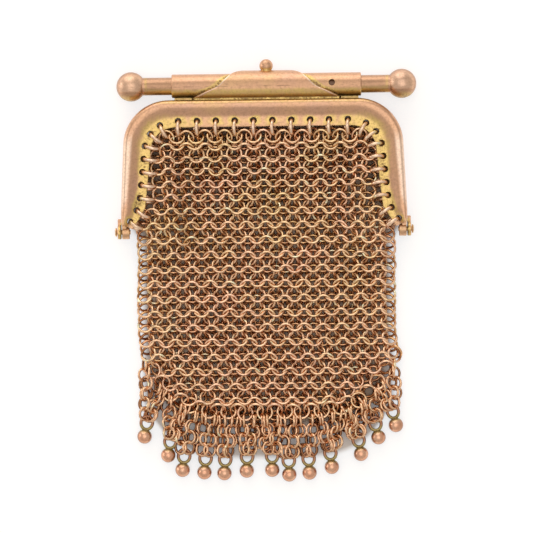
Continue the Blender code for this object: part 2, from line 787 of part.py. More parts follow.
def fringe_drop(name, place, collection):
    """A ball with its bail, a wire loop soldered on. The loop passes through the strand's last link."""
    head, _, centre = place
    down = (centre - head).normalized()
    body = ball(DROP_BALL_RADIUS, (centre.x, centre.y, DROP_BALL_RADIUS), LINK_SIDES, 6)
    loop = ring_mesh(BAIL_HALF_WIDTH, BAIL_WIRE, BAIL_HALF_HEIGHT / BAIL_HALF_WIDTH, 8, 4)
    middle = centre - down * (BAIL_STANDOFF + BAIL_HALF_HEIGHT)
    bail = ring_helper(loop, strand_matrix(middle, down, DROP_BALL_RADIUS, False))
    combine(body, bail, "UNION")
    return keep(name, body, collection)


def finish(obj, material):
    """Gives a piece its material and shading, and centres the purse on the origin."""
    obj.data.materials.clear()
    obj.data.materials.append(material)
    obj.data.shade_smooth()
    obj.data.set_sharp_from_angle(angle=math.radians(40))
    obj.location.x -= CENTRE_X
    obj.location.y -= CENTRE_Y


def build():
    clear_scene()
    purse = bpy.data.collections.new("metal_mesh_purse")
    bpy.context.scene.collection.children.link(purse)
    rose_gold = make_material("rose_gold", (0.72, 0.45, 0.30), 0.35)
    mesh_gold = make_material("mesh_gold", (0.62, 0.40, 0.24), 0.4)

    front = leaf("frame_front", 1, purse)
    add_knuckles(front, 1)
    add_tongue(front)
    cut_flange_holes(front, 1)
    back = leaf("frame_back", -1, purse)
    add_knuckles(back, -1)
    add_tube(back)
    cut_flange_holes(back, -1)
    solid = [front, back, clasp_bar(purse)]
    solid.append(hinge_pin("hinge_pin_left", -1, purse))
    solid.append(hinge_pin("hinge_pin_right", 1, purse))

    lower = MESH_THICKNESS / 2
    upper = lower + MESH_THICKNESS + LAYER_GAP
    mesh_front = mesh_panel("mesh_front", 1, upper, FRONT_SAG_LENGTH, purse)
    cut_ring_passages(mesh_front)
    mesh_back = mesh_panel("mesh_back", -1, lower, BACK_SAG_LENGTH, purse)

    ring = ring_mesh(RING_RADIUS, RING_WIRE)
    back_ring = ring_mesh(RING_RADIUS, RING_WIRE, 1.0, 8, 4)
    back_rings = []
    rings = []
    for index, (place, inward) in enumerate(hole_places()):
        back_rings.append(ring_helper(back_ring, ring_matrix(place, inward, -1)))
        obj = add_object(f"frame_ring_{index + 1:02d}", ring, purse)
        obj.matrix_world = ring_matrix(place, inward, 1)
        rings.append(obj)
    combine(mesh_back, joined("back_rings", back_rings), "UNION")

    drops = []
    for index, place in enumerate(drop_places()):
        drops.append(fringe_drop(f"fringe_ball_{index + 1:02d}", place, purse))
    for obj in solid + rings + drops:
        finish(obj, rose_gold)
    for obj in (mesh_front, mesh_back, fringe_mesh(purse)):
        finish(obj, mesh_gold)


build()
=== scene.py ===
import math

import bmesh
import bpy
import numpy as np
from mathutils import Matrix, Quaternion, Vector
from mathutils.kdtree import KDTree


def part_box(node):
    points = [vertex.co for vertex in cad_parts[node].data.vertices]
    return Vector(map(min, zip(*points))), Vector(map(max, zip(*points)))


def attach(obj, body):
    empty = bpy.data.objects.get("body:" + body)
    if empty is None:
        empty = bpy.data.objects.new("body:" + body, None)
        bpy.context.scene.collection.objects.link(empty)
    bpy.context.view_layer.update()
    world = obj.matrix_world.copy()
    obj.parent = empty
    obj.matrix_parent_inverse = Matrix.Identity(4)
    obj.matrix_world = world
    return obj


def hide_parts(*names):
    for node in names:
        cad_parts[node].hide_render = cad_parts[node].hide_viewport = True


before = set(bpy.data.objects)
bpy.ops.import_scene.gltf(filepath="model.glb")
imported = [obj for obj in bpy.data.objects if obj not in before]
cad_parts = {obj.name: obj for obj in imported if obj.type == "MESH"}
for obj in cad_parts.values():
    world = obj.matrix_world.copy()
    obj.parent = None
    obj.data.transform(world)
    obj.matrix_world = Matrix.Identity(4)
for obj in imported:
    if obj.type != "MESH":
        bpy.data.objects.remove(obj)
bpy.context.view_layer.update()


# Floor, light and camera.
# The purse lies on pale board between two large soft lights, beyond its clasp and to its left, with a
# weaker one above. The camera looks straight down, turned a little, as the purse lies a little askew.
MM = 0.001


class Flow:
    """A value in a node tree. Sums, products and sizes of it add their Math nodes."""

    def __init__(self, tree, socket=None):
        self.tree = tree
        self.socket = socket

    def node(self, kind, settings, values, out=0):
        """Adds a node, gives it its settings and then its values or links, and returns an output."""
        made = self.tree.nodes.new(kind)
        for key, value in settings.items():
            setattr(made, key, value)
        for key, value in values.items():
            if isinstance(value, Flow):
                self.tree.links.new(value.socket, made.inputs[key])
            else:
                made.inputs[key].default_value = value
        return Flow(self.tree, made.outputs[out])

    def maths(self, operation, *values):
        return self.node("ShaderNodeMath", {"operation": operation}, dict(enumerate(values)))

    def __add__(self, other):
        return self.maths("ADD", self, other)

    def __sub__(self, other):
        return self.maths("SUBTRACT", self, other)

    def __mul__(self, other):
        return self.maths("MULTIPLY", self, other)

    def __rsub__(self, other):
        return self.maths("SUBTRACT", other, self)

    def __abs__(self):
        return self.maths("ABSOLUTE", self)

    __radd__ = __add__
    __rmul__ = __mul__

    def larger(self, other):
        return self.maths("MAXIMUM", self, other)

    def axis(self, name, place=None):
        """One coordinate of a place, or else one of the object's own coordinates."""
        place = place or self.node("ShaderNodeTexCoord", {}, {}, "Object")
        return self.node("ShaderNodeSeparateXYZ", {}, {"Vector": place}, name)

    def kept(self, name):
        """A number that the mesh keeps for each vertex."""
        return self.node("ShaderNodeAttribute", {"attribute_name": name}, {}, "Fac")

    def between(self, low, high):
        """0 below low, 1 above high, eased in between."""
        settings = {"interpolation_type": "SMOOTHSTEP"}
        return self.node("ShaderNodeMapRange", settings, {"Value": self, "From Min": low, "From Max": high})

    def grain(self, size, detail=2.0, stretch=(1.0, 1.0, 1.0)):
        """Noise on the object's own coordinates. size is in metres."""
        where = self.node("ShaderNodeTexCoord", {}, {}, "Object")
        place = self.node("ShaderNodeMapping", {}, {"Vector": where, "Scale": stretch})
        values = {"Vector": place, "Scale": 1 / size, "Detail": detail}
        return self.node("ShaderNodeTexNoise", {"noise_dimensions": "3D"}, values)

    def mixed(self, first, second):
        """Blends two colours by this value."""
        settings = {"data_type": "RGBA"}
        return self.node("ShaderNodeMix", settings, {0: self, 6: first, 7: second}, 2)

    def bumped(self, strength, depth):
        values = {"Strength": strength, "Distance": depth, "Height": self}
        return self.node("ShaderNodeBump", {}, values)

    def into(self, shader, name):
        self.tree.links.new(self.socket, shader.inputs[name])


def new_material(name):
    material = bpy.data.materials.new(name)
    material.use_nodes = True
    return material, material.node_tree.nodes["Principled BSDF"], Flow(material.node_tree)


def new_object(name, data):
    obj = bpy.data.objects.new(name, data)
    bpy.context.scene.collection.objects.link(obj)
    return obj


board_mesh = bpy.data.meshes.new("board")
reach = 1.2
corners = [(-reach, -reach, 0), (reach, -reach, 0), (reach, reach, 0), (-reach, reach, 0)]
board_mesh.from_pydata(corners, [], [(0, 1, 2, 3)])
board = new_object("board", board_mesh)
white, white_shader, white_flow = new_material("white_board")
white_shader.inputs["Roughness"].default_value = 0.9
white_shader.inputs["Specular IOR Level"].default_value = 0.1
white_shader.inputs["Base Color"].default_value = (0.60, 0.48, 0.37, 1.0)
# The pale board itself glows as painted light round the purse, weakly under its fringe and not under the
# mesh, so the unlit board under the purse is painted shade.
DARK_HALF_WIDTH = 20.0 * MM
FRAME_STEP = 2.2 * MM
DARK_TOP = 26.5 * MM
DARK_FOOT = 25.5 * MM
FRINGE_REACH = 5.2 * MM
GLOW_EDGE = 1.8 * MM
beside = abs(white_flow.axis("X"))
above = white_flow.axis("Y")
wide = above.between(4.0 * MM, 9.0 * MM) * FRAME_STEP + DARK_HALF_WIDTH
shoulder = white_flow.maths("POWER", beside * (1 / (22.3 * MM)), 8.0) * 9.0 * MM
rise = white_flow.maths("POWER", beside * (1 / (21.8 * MM)), 4.5) * 10.9 * MM
outside = (beside - wide).larger(above + (shoulder - DARK_TOP))
below = rise - DARK_FOOT - above
clear = outside.larger(below - FRINGE_REACH).between(0.0, GLOW_EDGE)
fringe = (outside + 1.0 * MM).larger(below).between(0.0, GLOW_EDGE)
glow = clear.larger(fringe * 0.22).mixed((0.0, 0.0, 0.0, 1.0), (0.80, 0.91, 1.0, 1.0))
glow.into(white_shader, "Emission Color")
white_shader.inputs["Emission Strength"].default_value = 0.68
board_mesh.materials.append(white)


def soft_light(name, place, size, brightness):
    """A round soft light that faces the purse. brightness is that of its surface, with white as 1."""
    data = bpy.data.lights.new(name, "AREA")
    data.shape = "DISK"
    data.size = size
    data.energy = brightness * math.pi * size * size * math.pi / 4
    light = new_object(name, data)
    light.location = place
    light.rotation_euler = Vector(place).to_track_quat("Z", "Y").to_euler()


soft_light("north", (-0.3, 1.6, 0.5), 1.9, 1.4)
soft_light("west", (-1.7, 0.3, 0.1), 1.0, 2.0)
soft_light("top", (0.0, 0.0, 1.35), 1.4, 0.84)

world = bpy.data.worlds.new("studio")
bpy.context.scene.world = world
world.use_nodes = True
world.node_tree.nodes["Background"].inputs["Color"].default_value = (1.0, 1.0, 1.0, 1.0)
world.node_tree.nodes["Background"].inputs["Strength"].default_value = 0.62
bpy.context.scene.view_settings.view_transform = "Standard"

CAMERA_HEIGHT = 0.7
PHOTO_WIDTH = 90.6 * MM
camera_data = bpy.data.cameras.new("camera")
camera_data.sensor_width = 36.0
camera_data.lens = 36.0 * (CAMERA_HEIGHT - 2.5 * MM) / PHOTO_WIDTH
camera = new_object("camera", camera_data)
camera.location = (-0.1 * MM, 0.72 * MM, CAMERA_HEIGHT)
camera.rotation_euler = (0.0, 0.0, math.radians(-0.75))
bpy.context.scene.camera = camera


# Clasp bar.
# A round rose-gold bar that slides through the tube, with a hollow ball soldered on each end. Hands
# have polished it to a soft satin, with fine scratches along it. Its hidden middle is painted black as
# shade, its lower side and the balls' sides are painted darker as shade, and the balls' tops are pale,
# partly as wear and partly as a painted highlight.
bar_low, bar_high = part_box("clasp_bar")
TUBE_Y = (bar_low.y + bar_high.y) / 2
TUBE_Z = (bar_low.z + bar_high.z) / 2
BAR_MIDDLE_X = (bar_low.x + bar_high.x) / 2
BAR_RADIUS = 1.5 * MM
BAR_BALL_RADIUS = 2.5 * MM
BAR_BALL_SPACING = 46.0 * MM
HIDDEN_HALF = 13 * MM


def finished(name, shape):
    """A new object from a shape that is still being made."""
    mesh = bpy.data.meshes.new(name)
    shape.to_mesh(mesh)
    shape.free()
    return new_object(name, mesh)


def turned(name, profile, middle, direction, sides=48):
    """A solid turned about a line, from (distance along it, radius) points."""
    shape = bmesh.new()
    rings = []
    for along, radius in profile:
        if radius < 1e-7:
            rings.append([shape.verts.new((0, 0, along))])
            continue
        angles = [2 * math.pi * index / sides for index in range(sides)]
        rings.append([shape.verts.new((radius * math.cos(a), radius * math.sin(a), along)) for a in angles])
    for low, high in zip(rings, rings[1:]):
        for index in range(sides):
            after = (index + 1) % sides
            corners = [low[index % len(low)], low[after % len(low)]]
            corners += [high[after % len(high)], high[index % len(high)]]
            shape.faces.new(list(dict.fromkeys(corners)))
    for ring in (rings[0], rings[-1]):
        if len(ring) > 1:
            shape.faces.new(ring)
    bmesh.ops.recalc_face_normals(shape, faces=shape.faces)
    turn = Vector(direction).to_track_quat("Z", "Y").to_matrix().to_4x4()
    shape.transform(Matrix.Translation(middle) @ turn)
    return finished(name, shape)


def ball_points(radius, centre, start, end, steps):
    """(distance, radius) points of a ball between two polar angles in degrees."""
    angles = [math.radians(start + (end - start) * step / steps) for step in range(steps + 1)]
    return [(centre - radius * math.cos(a), radius * abs(math.sin(a))) for a in angles]


def stored(mesh, name, values, kind="FLOAT"):
    """Keeps a number or a turn for each vertex."""
    mesh.attributes.new(name, kind, "POINT").data.foreach_set("value", values)


def smooth_shaded(obj, degrees=35):
    obj.data.shade_smooth()
    obj.data.set_sharp_from_angle(angle=math.radians(degrees))


ROSY = (0.72, 0.395, 0.22, 1.0)
LILAC = (0.67, 0.375, 0.24, 1.0)
BRASSY = (0.84, 0.575, 0.18, 1.0)
DARK_BRASS = (0.22, 0.118, 0.024, 1.0)
BROWN = (0.24, 0.12, 0.06, 1.0)
PALE = (0.92, 0.66, 0.48, 1.0)
SHADE_BLACK = (0.03, 0.018, 0.01, 1.0)


def rose_gold(name, roughness, share=0.2, stretch=(1.0, 1.0, 1.0), dulled=0.0):
    """Worn rose gold with lilac and brassy stains, fine scratches and a soft uneven polish. The piece's
    tarnish and painted shading turn it brassy up to 1, dark from there to 2 and black beyond, where the
    black is painted shade, and below 0 paint it pale as a highlight. A faint seam runs along the tube and
    the bar, and a darker band of painted shade along their middle."""
    material, shader, flow = new_material(name)
    stains = flow.grain(5 * MM, 3.0)
    freckles = flow.grain(0.3 * MM, 3.0).between(0.42, 0.75)
    scratches = flow.grain(0.5 * MM, 4.0, stretch)
    tarnish_and_shading = flow.kept("tarnish_and_shading")
    uneven = tarnish_and_shading + (flow.grain(1.2 * MM, 3.0) - 0.5) * 1.2 * tarnish_and_shading + (freckles - 0.3) * 0.35 * tarnish_and_shading
    edge = uneven.between(0.1, 1.0).larger(stains.between(0.5, 0.72) * share)
    colour = (stains.between(0.5, 0.28) * 0.6).mixed(ROSY, LILAC)
    colour = edge.mixed(colour, BRASSY)
    # Below 0 the number paints the colour pale: a painted highlight, with some wear on the bar's balls.
    colour = (0 - tarnish_and_shading).between(0.05, 0.6).mixed(colour, PALE)
    colour = (uneven.between(0.95, 1.7) * 0.9).mixed(colour, DARK_BRASS)
    # Black where the number passes 1.9, on the bar hidden in the tube: painted shade.
    colour = tarnish_and_shading.between(1.9, 2.4).mixed(colour, SHADE_BLACK)
    north = flow.axis("Y") - TUBE_Y
    east = flow.axis("X")
    along = east.between(-20.5 * MM, -18 * MM) * east.between(9 * MM, 2 * MM)
    seam = abs(north + 0.22 * MM).between(0.15 * MM, 0.05 * MM) * along
    seam = seam * flow.grain(1.6 * MM, 3.0).between(0.3, 0.6)
    # A darker band along the middle of the tube and the bar is painted shade.
    band = abs(north - 0.12 * MM).between(0.8 * MM, 0.2 * MM) * abs(east).between(20.6 * MM, 19.8 * MM)
    wear_and_shade = freckles * 0.2 + scratches.between(0.4, 0.8) * 0.25
    wear_and_shade = wear_and_shade + tarnish_and_shading.between(-0.2, 0.0) * dulled
    shade = wear_and_shade.mixed(colour, BROWN)
    shade = (seam * 0.75).larger(band * 0.33).mixed(shade, BROWN)
    dull = freckles * 0.1 + scratches * 0.14 + edge * 0.06
    shade.into(shader, "Base Color")
    (dull + roughness).into(shader, "Roughness")
    (scratches + freckles * 0.5).bumped(0.25, 0.02 * MM).into(shader, "Normal")
    shader.inputs["Metallic"].default_value = 1.0
    shader.inputs["Coat Weight"].default_value = 0.6
    shader.inputs["Coat Roughness"].default_value = 0.3
    return material


half = BAR_BALL_SPACING / 2
seam = math.degrees(math.asin(BAR_RADIUS / BAR_BALL_RADIUS))
profile = ball_points(BAR_BALL_RADIUS, -half, 0, 180 - seam, 20)
profile += [(place / 2 * MM, BAR_RADIUS) for place in range(-41, 42)]
profile += ball_points(BAR_BALL_RADIUS, half, seam, 180, 20)
bar = turned("turned_bar", profile, (BAR_MIDDLE_X, TUBE_Y, TUBE_Z), (1, 0, 0))
ball_start = half - BAR_BALL_RADIUS
tarnish_and_shading = []
# Painted shade: black inside the tube, darker on the bar's lower side and round the balls' sides. The
# balls' tops are pale, as a painted highlight and some wear.
for vertex in bar.data.vertices:
    out = abs(vertex.co.x - BAR_MIDDLE_X)
    down = (TUBE_Y - vertex.co.y) / BAR_RADIUS
    high = (vertex.co.z - TUBE_Z) / BAR_BALL_RADIUS
    round_side = 0.7 * min(1.0, max(0.0, 1 - high / 0.6)) - 0.25
    if out < HIDDEN_HALF:
        dark = 2.4
    elif out < ball_start:
        dark = 0.1 + max(0, down - 0.1) * 1.6
    else:
        dark = max(round_side, down * 1.6 - 1.2)
    joint = max(0, 1 - abs(out - ball_start) / (0.45 * MM)) * 1.2 - 0.5
    tarnish_and_shading.append(max(dark, joint))
stored(bar.data, "tarnish_and_shading", tarnish_and_shading)
bar.data.materials.append(rose_gold("bar_gold", 0.30, share=0.15, stretch=(0.12, 1.0, 1.0), dulled=0.3))
smooth_shaded(bar, 30)
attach(bar, "clasp_bar")
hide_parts("clasp_bar")


# Back leaf and clasp tube.
# The back half of the frame is one arched band of sheet gold, pressed to a rounded outer roll and a
# flat inner flange with 28 drilled holes. The drawn tube for the bar is soldered along its top.
left_pin_low, left_pin_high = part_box("hinge_pin_left")
_, right_pin_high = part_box("hinge_pin_right")
FRAME_X = (left_pin_low.x + right_pin_high.x) / 2
HINGE_Y = (left_pin_low.y + left_pin_high.y) / 2
MIDDLE_Z = (left_pin_low.z + left_pin_high.z) / 2
FRAME_HALF_WIDTH = 24.3 * MM
FRAME_SPLAY = 0.5 * MM
ARCH_HEIGHT = 22.3 * MM
SHOULDER_RADIUS = 7.8 * MM
LEAF_WIDTH = 4.6 * MM
LEAF_FOOT_WIDTH = 4.1 * MM
INNER_RADIUS = 4.3 * MM
LEAF_RISE = 2.55 * MM
LEAF_SHEET = 0.45 * MM
FOOT_CUT_HEIGHT = 4.0 * MM
FOOT_CUT_WIDTH = 2.2 * MM
FOOT_LEVEL = 1.35 * MM
HOLE_RADIUS = 0.57 * MM
HOLE_MARGIN = 1.0 * MM
RINGS_TOP = 6
RINGS_SIDE = 8
RING_PITCH_TOP = 3.2 * MM
TUBE_RADIUS = 2.0 * MM
TUBE_BORE = 1.65 * MM
TUBE_LENGTH = 32.2 * MM
TONGUE_SHEET = 0.38 * MM
TONGUE_HALF_WIDTH = 12.7 * MM
TONGUE_RADIUS = TUBE_RADIUS + 0.15 * MM + TONGUE_SHEET / 2
THUMB_BALL_RADIUS = 1.15 * MM
THUMB_BALL_RISE = TONGUE_RADIUS + TONGUE_SHEET / 2 + 0.75 * MM
KNUCKLE_RADIUS = 1.2 * MM
KNUCKLE_BORE = 0.52 * MM
FRONT_KNUCKLE = 1.25 * MM
BACK_KNUCKLE = 0.63 * MM
KNUCKLE_GAP = 0.15 * MM
SOFT_EDGE = 0.08 * MM
SIGHT_RADIUS = 0.55 * MM

# Degrees round the tube, from the leaf over the front: share of the tongue's half width.
TONGUE_OUTLINE = (
    (16, 1.00),
    (36, 0.94),
    (60, 0.83),
    (85, 0.66),
    (113, 0.56),
    (142, 0.47),
    (165, 0.37),
    (185, 0.27),
    (200, 0.14),
)

# Section from the outer edge to the inner edge: share of the width, share of the rise.
LEAF_SECTION = (
    (0.000, 0.060),
    (0.000, 0.450),
    (0.014, 0.700),
    (0.052, 0.880),
    (0.115, 0.975),
    (0.200, 0.998),
    (0.325, 0.950),
    (0.455, 0.822),
    (0.580, 0.695),
    (0.710, 0.640),
    (1.000, 0.627),
)

INNER_TOP = ARCH_HEIGHT - LEAF_WIDTH
SHOULDER_HALF_WIDTH = FRAME_HALF_WIDTH - FRAME_SPLAY
INNER_SHOULDER = SHOULDER_HALF_WIDTH - LEAF_WIDTH
INNER_FOOT = FRAME_HALF_WIDTH - LEAF_FOOT_WIDTH


def evened(points, count):
    """A smooth line through the points, with the same number of steps in each stretch."""
    points = [Vector(point) for point in points]
    line = [points[0]]
    for index in range(len(points) - 1):
        before = points[max(index - 1, 0)]
        low, high = points[index], points[index + 1]
        after = points[min(index + 2, len(points) - 1)]
        for step in range(1, count + 1):
            t = step / count
            bend = low + (high - before) * 0.5 * t
            bend += (2 * before - 5 * low + 4 * high - after) * 0.5 * t * t
            bend += (3 * low - before - 3 * high + after) * 0.5 * t**3
            line.append(bend)
    return line


def half_path(low_points, shoulder, corner, radius):
    """Right half of a leaf's edge, from the foot to the middle of the top, about the hinge line."""
    points = []
    stretch = [*low_points, shoulder]
    for low, high in zip(stretch, stretch[1:]):
        points += [low.lerp(high, step / 6) for step in range(6)]
    for step in range(19):
        angle = math.pi / 2 * step / 18
        points.append(corner + radius * Vector((math.cos(angle), math.sin(angle))))
    top = Vector((0, corner.y + radius))
    points += [points[-1].lerp(top, (step + 1) / 12) for step in range(12)]
    return points


def outer_half():
    corner = Vector((SHOULDER_HALF_WIDTH - SHOULDER_RADIUS, ARCH_HEIGHT - SHOULDER_RADIUS))
    low_points = [Vector((FRAME_HALF_WIDTH, FOOT_LEVEL)), Vector((FRAME_HALF_WIDTH, FOOT_CUT_HEIGHT))]
    return half_path(low_points, Vector((SHOULDER_HALF_WIDTH, corner.y)), corner, SHOULDER_RADIUS)


def inner_half():
    corner = Vector((INNER_SHOULDER - INNER_RADIUS, INNER_TOP - INNER_RADIUS))
    foot = Vector((INNER_FOOT + FOOT_CUT_WIDTH, FOOT_CUT_HEIGHT - 1.6 * FOOT_CUT_WIDTH))
    low_points = [foot, Vector((INNER_FOOT, FOOT_CUT_HEIGHT))]
    return half_path(low_points, Vector((INNER_SHOULDER, corner.y)), corner, INNER_RADIUS)


def placed(point, height):
    """A point of the frame's plane, at a height from its middle, in the purse's coordinates."""
    return Vector((FRAME_X + point.x, HINGE_Y + point.y, MIDDLE_Z + height))


def both_halves(points):
    return list(points) + [Vector((-point.x, point.y)) for point in points[-2::-1]]


def evaluated(obj):
    """The object's mesh with its modifiers applied, which are then gone."""
    bpy.context.view_layer.update()
    mesh = bpy.data.meshes.new_from_object(obj.evaluated_get(bpy.context.evaluated_depsgraph_get()))
    obj.modifiers.clear()
    obj.data = mesh
    return obj


def cut(obj, other, operation="DIFFERENCE"):
    modifier = obj.modifiers.new("cut", "BOOLEAN")
    modifier.operation = operation
    modifier.solver = "EXACT"
    modifier.object = other
    evaluated(obj)
    bpy.data.objects.remove(other, do_unlink=True)
    return obj


def merged(objects):
    """Joins the meshes of separate objects into the first."""
    shape = bmesh.new()
    for obj in objects:
        shape.from_mesh(obj.data)
    shape.to_mesh(objects[0].data)
    shape.free()
    for obj in objects[1:]:
        bpy.data.objects.remove(obj, do_unlink=True)
    return objects[0]


def bent_sheet(name, rows, thickness, up, offset, bevel):
    """A wall of even thickness on a grid of points, with softened edges."""
    shape = bmesh.new()
    grid = [[shape.verts.new(point) for point in row] for row in rows]
    for upper, lower in zip(grid, grid[1:]):
        for a, b, c, d in zip(upper, upper[1:], lower[1:], lower):
            shape.faces.new((a, b, c, d))
    bmesh.ops.recalc_face_normals(shape, faces=shape.faces)
    shape.normal_update()
    if sum(face.normal.z * face.calc_area() for face in shape.faces) * up < 0:
        bmesh.ops.reverse_faces(shape, faces=shape.faces)
    obj = finished(name, shape)
    wall = obj.modifiers.new("wall", "SOLIDIFY")
    wall.thickness = thickness
    wall.offset = offset
    wall.use_even_offset = True
    soft = obj.modifiers.new("soft", "BEVEL")
    soft.width = bevel
    soft.segments = 2
    soft.limit_method = "ANGLE"
    soft.angle_limit = math.radians(50)
    return evaluated(obj)


def hole_places():
    """(place, inward direction) of each hole, from the left foot to the right foot."""
    inner = inner_half()[::-1]
    line = []
    for index, point in enumerate(inner):
        before, after = inner[max(index - 1, 0)], inner[min(index + 1, len(inner) - 1)]
        along = (after - before).normalized()
        outward = Vector((-along.y, along.x))
        line.append((point + outward * HOLE_MARGIN, -outward))
    lengths = [0.0]
    for (low, _), (high, _) in zip(line, line[1:]):
        lengths.append(lengths[-1] + (high - low).length)
    stations = [RING_PITCH_TOP * (index + 0.5) for index in range(RINGS_TOP)]
    pitch = (lengths[-1] - 0.9 * MM - stations[-1]) / RINGS_SIDE
    stations += [stations[-1] + pitch * (index + 1) for index in range(RINGS_SIDE)]
    right = []
    for station in stations:
        index = max(i for i, length in enumerate(lengths[:-1]) if length <= station)
        share = (station - lengths[index]) / (lengths[index + 1] - lengths[index])
        place = line[index][0].lerp(line[index + 1][0], share)
        right.append((place, line[index][1].lerp(line[index + 1][1], share).normalized()))
    left = [(Vector((-p.x, p.y)), Vector((-d.x, d.y))) for p, d in right[::-1]]
    return left + right


def leaf(name, side):
    """One pressed and drilled leaf. side is 1 for the front and -1 for the back."""
    section = evened(LEAF_SECTION, 3)
    rows = []
    for edge, lip in zip(both_halves(outer_half()), both_halves(inner_half())):
        rows.append([placed(edge.lerp(lip, point.x), side * point.y * LEAF_RISE) for point in section])
    obj = bent_sheet(name, rows, LEAF_SHEET, side, -1.0, 0.07 * MM)
    drills = []
    for place, _ in hole_places():
        low = placed(place, side * LEAF_RISE * 0.3)
        profile = [(0, HOLE_RADIUS), (LEAF_RISE, HOLE_RADIUS)]
        drills.append(turned("drill", profile, low, (0, 0, side), 20))
    return cut(obj, merged(drills))


def block(name, low, high, softened=0.0):
    """A box between two corners, with its edges softened by so much."""
    shape = bmesh.new()
    bmesh.ops.create_cube(shape, size=1.0)
    size = high - low
    scale = Matrix.Diagonal((abs(size.x), abs(size.y), abs(size.z), 1))
    shape.transform(Matrix.Translation((low + high) / 2) @ scale)
    if softened:
        bmesh.ops.bevel(shape, geom=shape.edges[:], offset=softened, segments=2, affect="EDGES")
    return finished(name, shape)


def knuckles(side):
    """Both hinge barrels of a leaf, each with the tab that joins it to the leaf's foot."""
    front = side > 0
    length = FRONT_KNUCKLE if front else BACK_KNUCKLE
    start = FRAME_HALF_WIDTH - KNUCKLE_GAP - length if front else FRAME_HALF_WIDTH
    tab_start = max(start, FRAME_HALF_WIDTH - (2.0 if front else 0.7) * LEAF_SHEET)
    tab_low = KNUCKLE_RADIUS * (0.5 if front else 0.7)
    round_edge = KNUCKLE_RADIUS - SOFT_EDGE
    profile = [(0, KNUCKLE_BORE), (0, round_edge), (SOFT_EDGE, KNUCKLE_RADIUS)]
    profile += [(length - SOFT_EDGE, KNUCKLE_RADIUS), (length, round_edge), (length, KNUCKLE_BORE)]
    made = []
    for hand in (-1, 1):
        middle = placed(Vector((hand * start, 0)), 0)
        made.append(turned("knuckle", [*profile, profile[0]], middle, (hand, 0, 0), 32))
        low = placed(Vector((hand * tab_start, tab_low)), side * KNUCKLE_RADIUS * 0.45)
        high = Vector((hand * (start + length), FOOT_LEVEL + LEAF_SHEET * 2))
        made.append(block("tab", low, placed(high, side * KNUCKLE_RADIUS * 1.02), SOFT_EDGE))
    return made


def tree_of(points):
    tree = KDTree(len(points))
    for index, point in enumerate(points):
        tree.insert((point.x, point.y, 0), index)
    tree.balance()
    return tree


def tongue_half(y, z):
    """Half width of the tongue beside a point of the tube."""
    degrees = math.degrees(math.atan2(z - TUBE_Z, TUBE_Y - y)) % 360
    angles = [row[0] for row in TONGUE_OUTLINE]
    shares = [row[1] for row in TONGUE_OUTLINE]
    return TONGUE_HALF_WIDTH * float(np.interp(degrees, angles, shares, 1.0, 0.0))


def tarnish_and_shade_leaf(obj):
    """Tarnish gathers on the flange, at its corners, on the tube's lower side, in the hinges' seams and
    between the leaves, and the web under the tube and the tube beside the tongue's edge are darker. The
    rims of the holes are darkened as painted shade, and the outer rolls of the legs and the tongue's edge
    are made pale as painted highlights."""
    lip = tree_of([placed(point, 0) for point in both_halves(inner_half())])
    holes = tree_of([placed(place, 0) for place, _ in hole_places()])
    frame_top = HINGE_Y + ARCH_HEIGHT
    values = []
    for vertex in obj.data.vertices:
        x, y, z = vertex.co
        from_corner = math.hypot(abs(x - FRAME_X) - INNER_SHOULDER, y - HINGE_Y - INNER_TOP)
        corner = max(0.0, 1 - from_corner / (9 * MM))
        leg = min(1.0, max(0.0, (HINGE_Y + INNER_TOP - y) / (3 * MM)))
        reach = (2.3 + 1.6 * corner) * MM
        off_lip = lip.find((x, y, 0))[2]
        flange = (reach - off_lip) / (2.0 * MM)
        # The outer rolls of the legs are made pale: a painted highlight.
        painted_roll_highlight = 0.5 * leg * min(1.0, max(0.0, (off_lip - 2.8 * MM) / (0.7 * MM)))
        # Dark rims round the holes are painted shade.
        hole = 2.4 - holes.find((x, y, 0))[2] / (0.5 * MM)
        value = max(min(1.0, flange * max(0.25 + 0.8 * corner, 1.1 * leg)), min(1.2, hole))
        inside = abs(x - BAR_MIDDLE_X) < TUBE_LENGTH / 2 + 0.3 * MM
        if inside and y > frame_top - 0.25 * MM:
            beside = abs(x - BAR_MIDDLE_X) - tongue_half(y, z)
            out = math.hypot(y - TUBE_Y, z - TUBE_Z)
            value = (TUBE_Y - 0.3 * MM - y) / (0.9 * MM)
            value = min(0.75 if out > TUBE_RADIUS + 0.1 * MM else 1.0, value)
            if y < TUBE_Y - (1.8 if out < TUBE_RADIUS + 0.1 * MM else 2.05) * MM:
                value = 1.9
            elif out > TONGUE_RADIUS + 0.3 * MM:
                value = 1.3 - (out - TONGUE_RADIUS - 0.3 * MM) / (0.5 * MM)
            elif out < TUBE_RADIUS + 0.05 * MM and 0 < beside and z > TUBE_Z:
                value = max(value, 1.6 - 1.6 * (beside / (1.6 * MM)) ** 2)
            # A pale line along the tongue's edge is a painted highlight.
            elif out > TUBE_RADIUS + 0.1 * MM and y > TUBE_Y - 1.9 * MM and abs(beside) < 0.2 * MM:
                values.append(-0.7)
                continue
        elif abs(z - MIDDLE_Z) < 0.2 * MM:
            value = max(value, 1.3)
        elif y > frame_top - 0.7 * MM:
            value = max(value, 0.5)
        elif y < HINGE_Y + FOOT_LEVEL:
            value = 1.9 if abs(abs(x - FRAME_X) - FRAME_HALF_WIDTH) < 0.16 * MM else 0.35
        values.append(value if value > 0 else -painted_roll_highlight)
    stored(obj.data, "tarnish_and_shading", values)


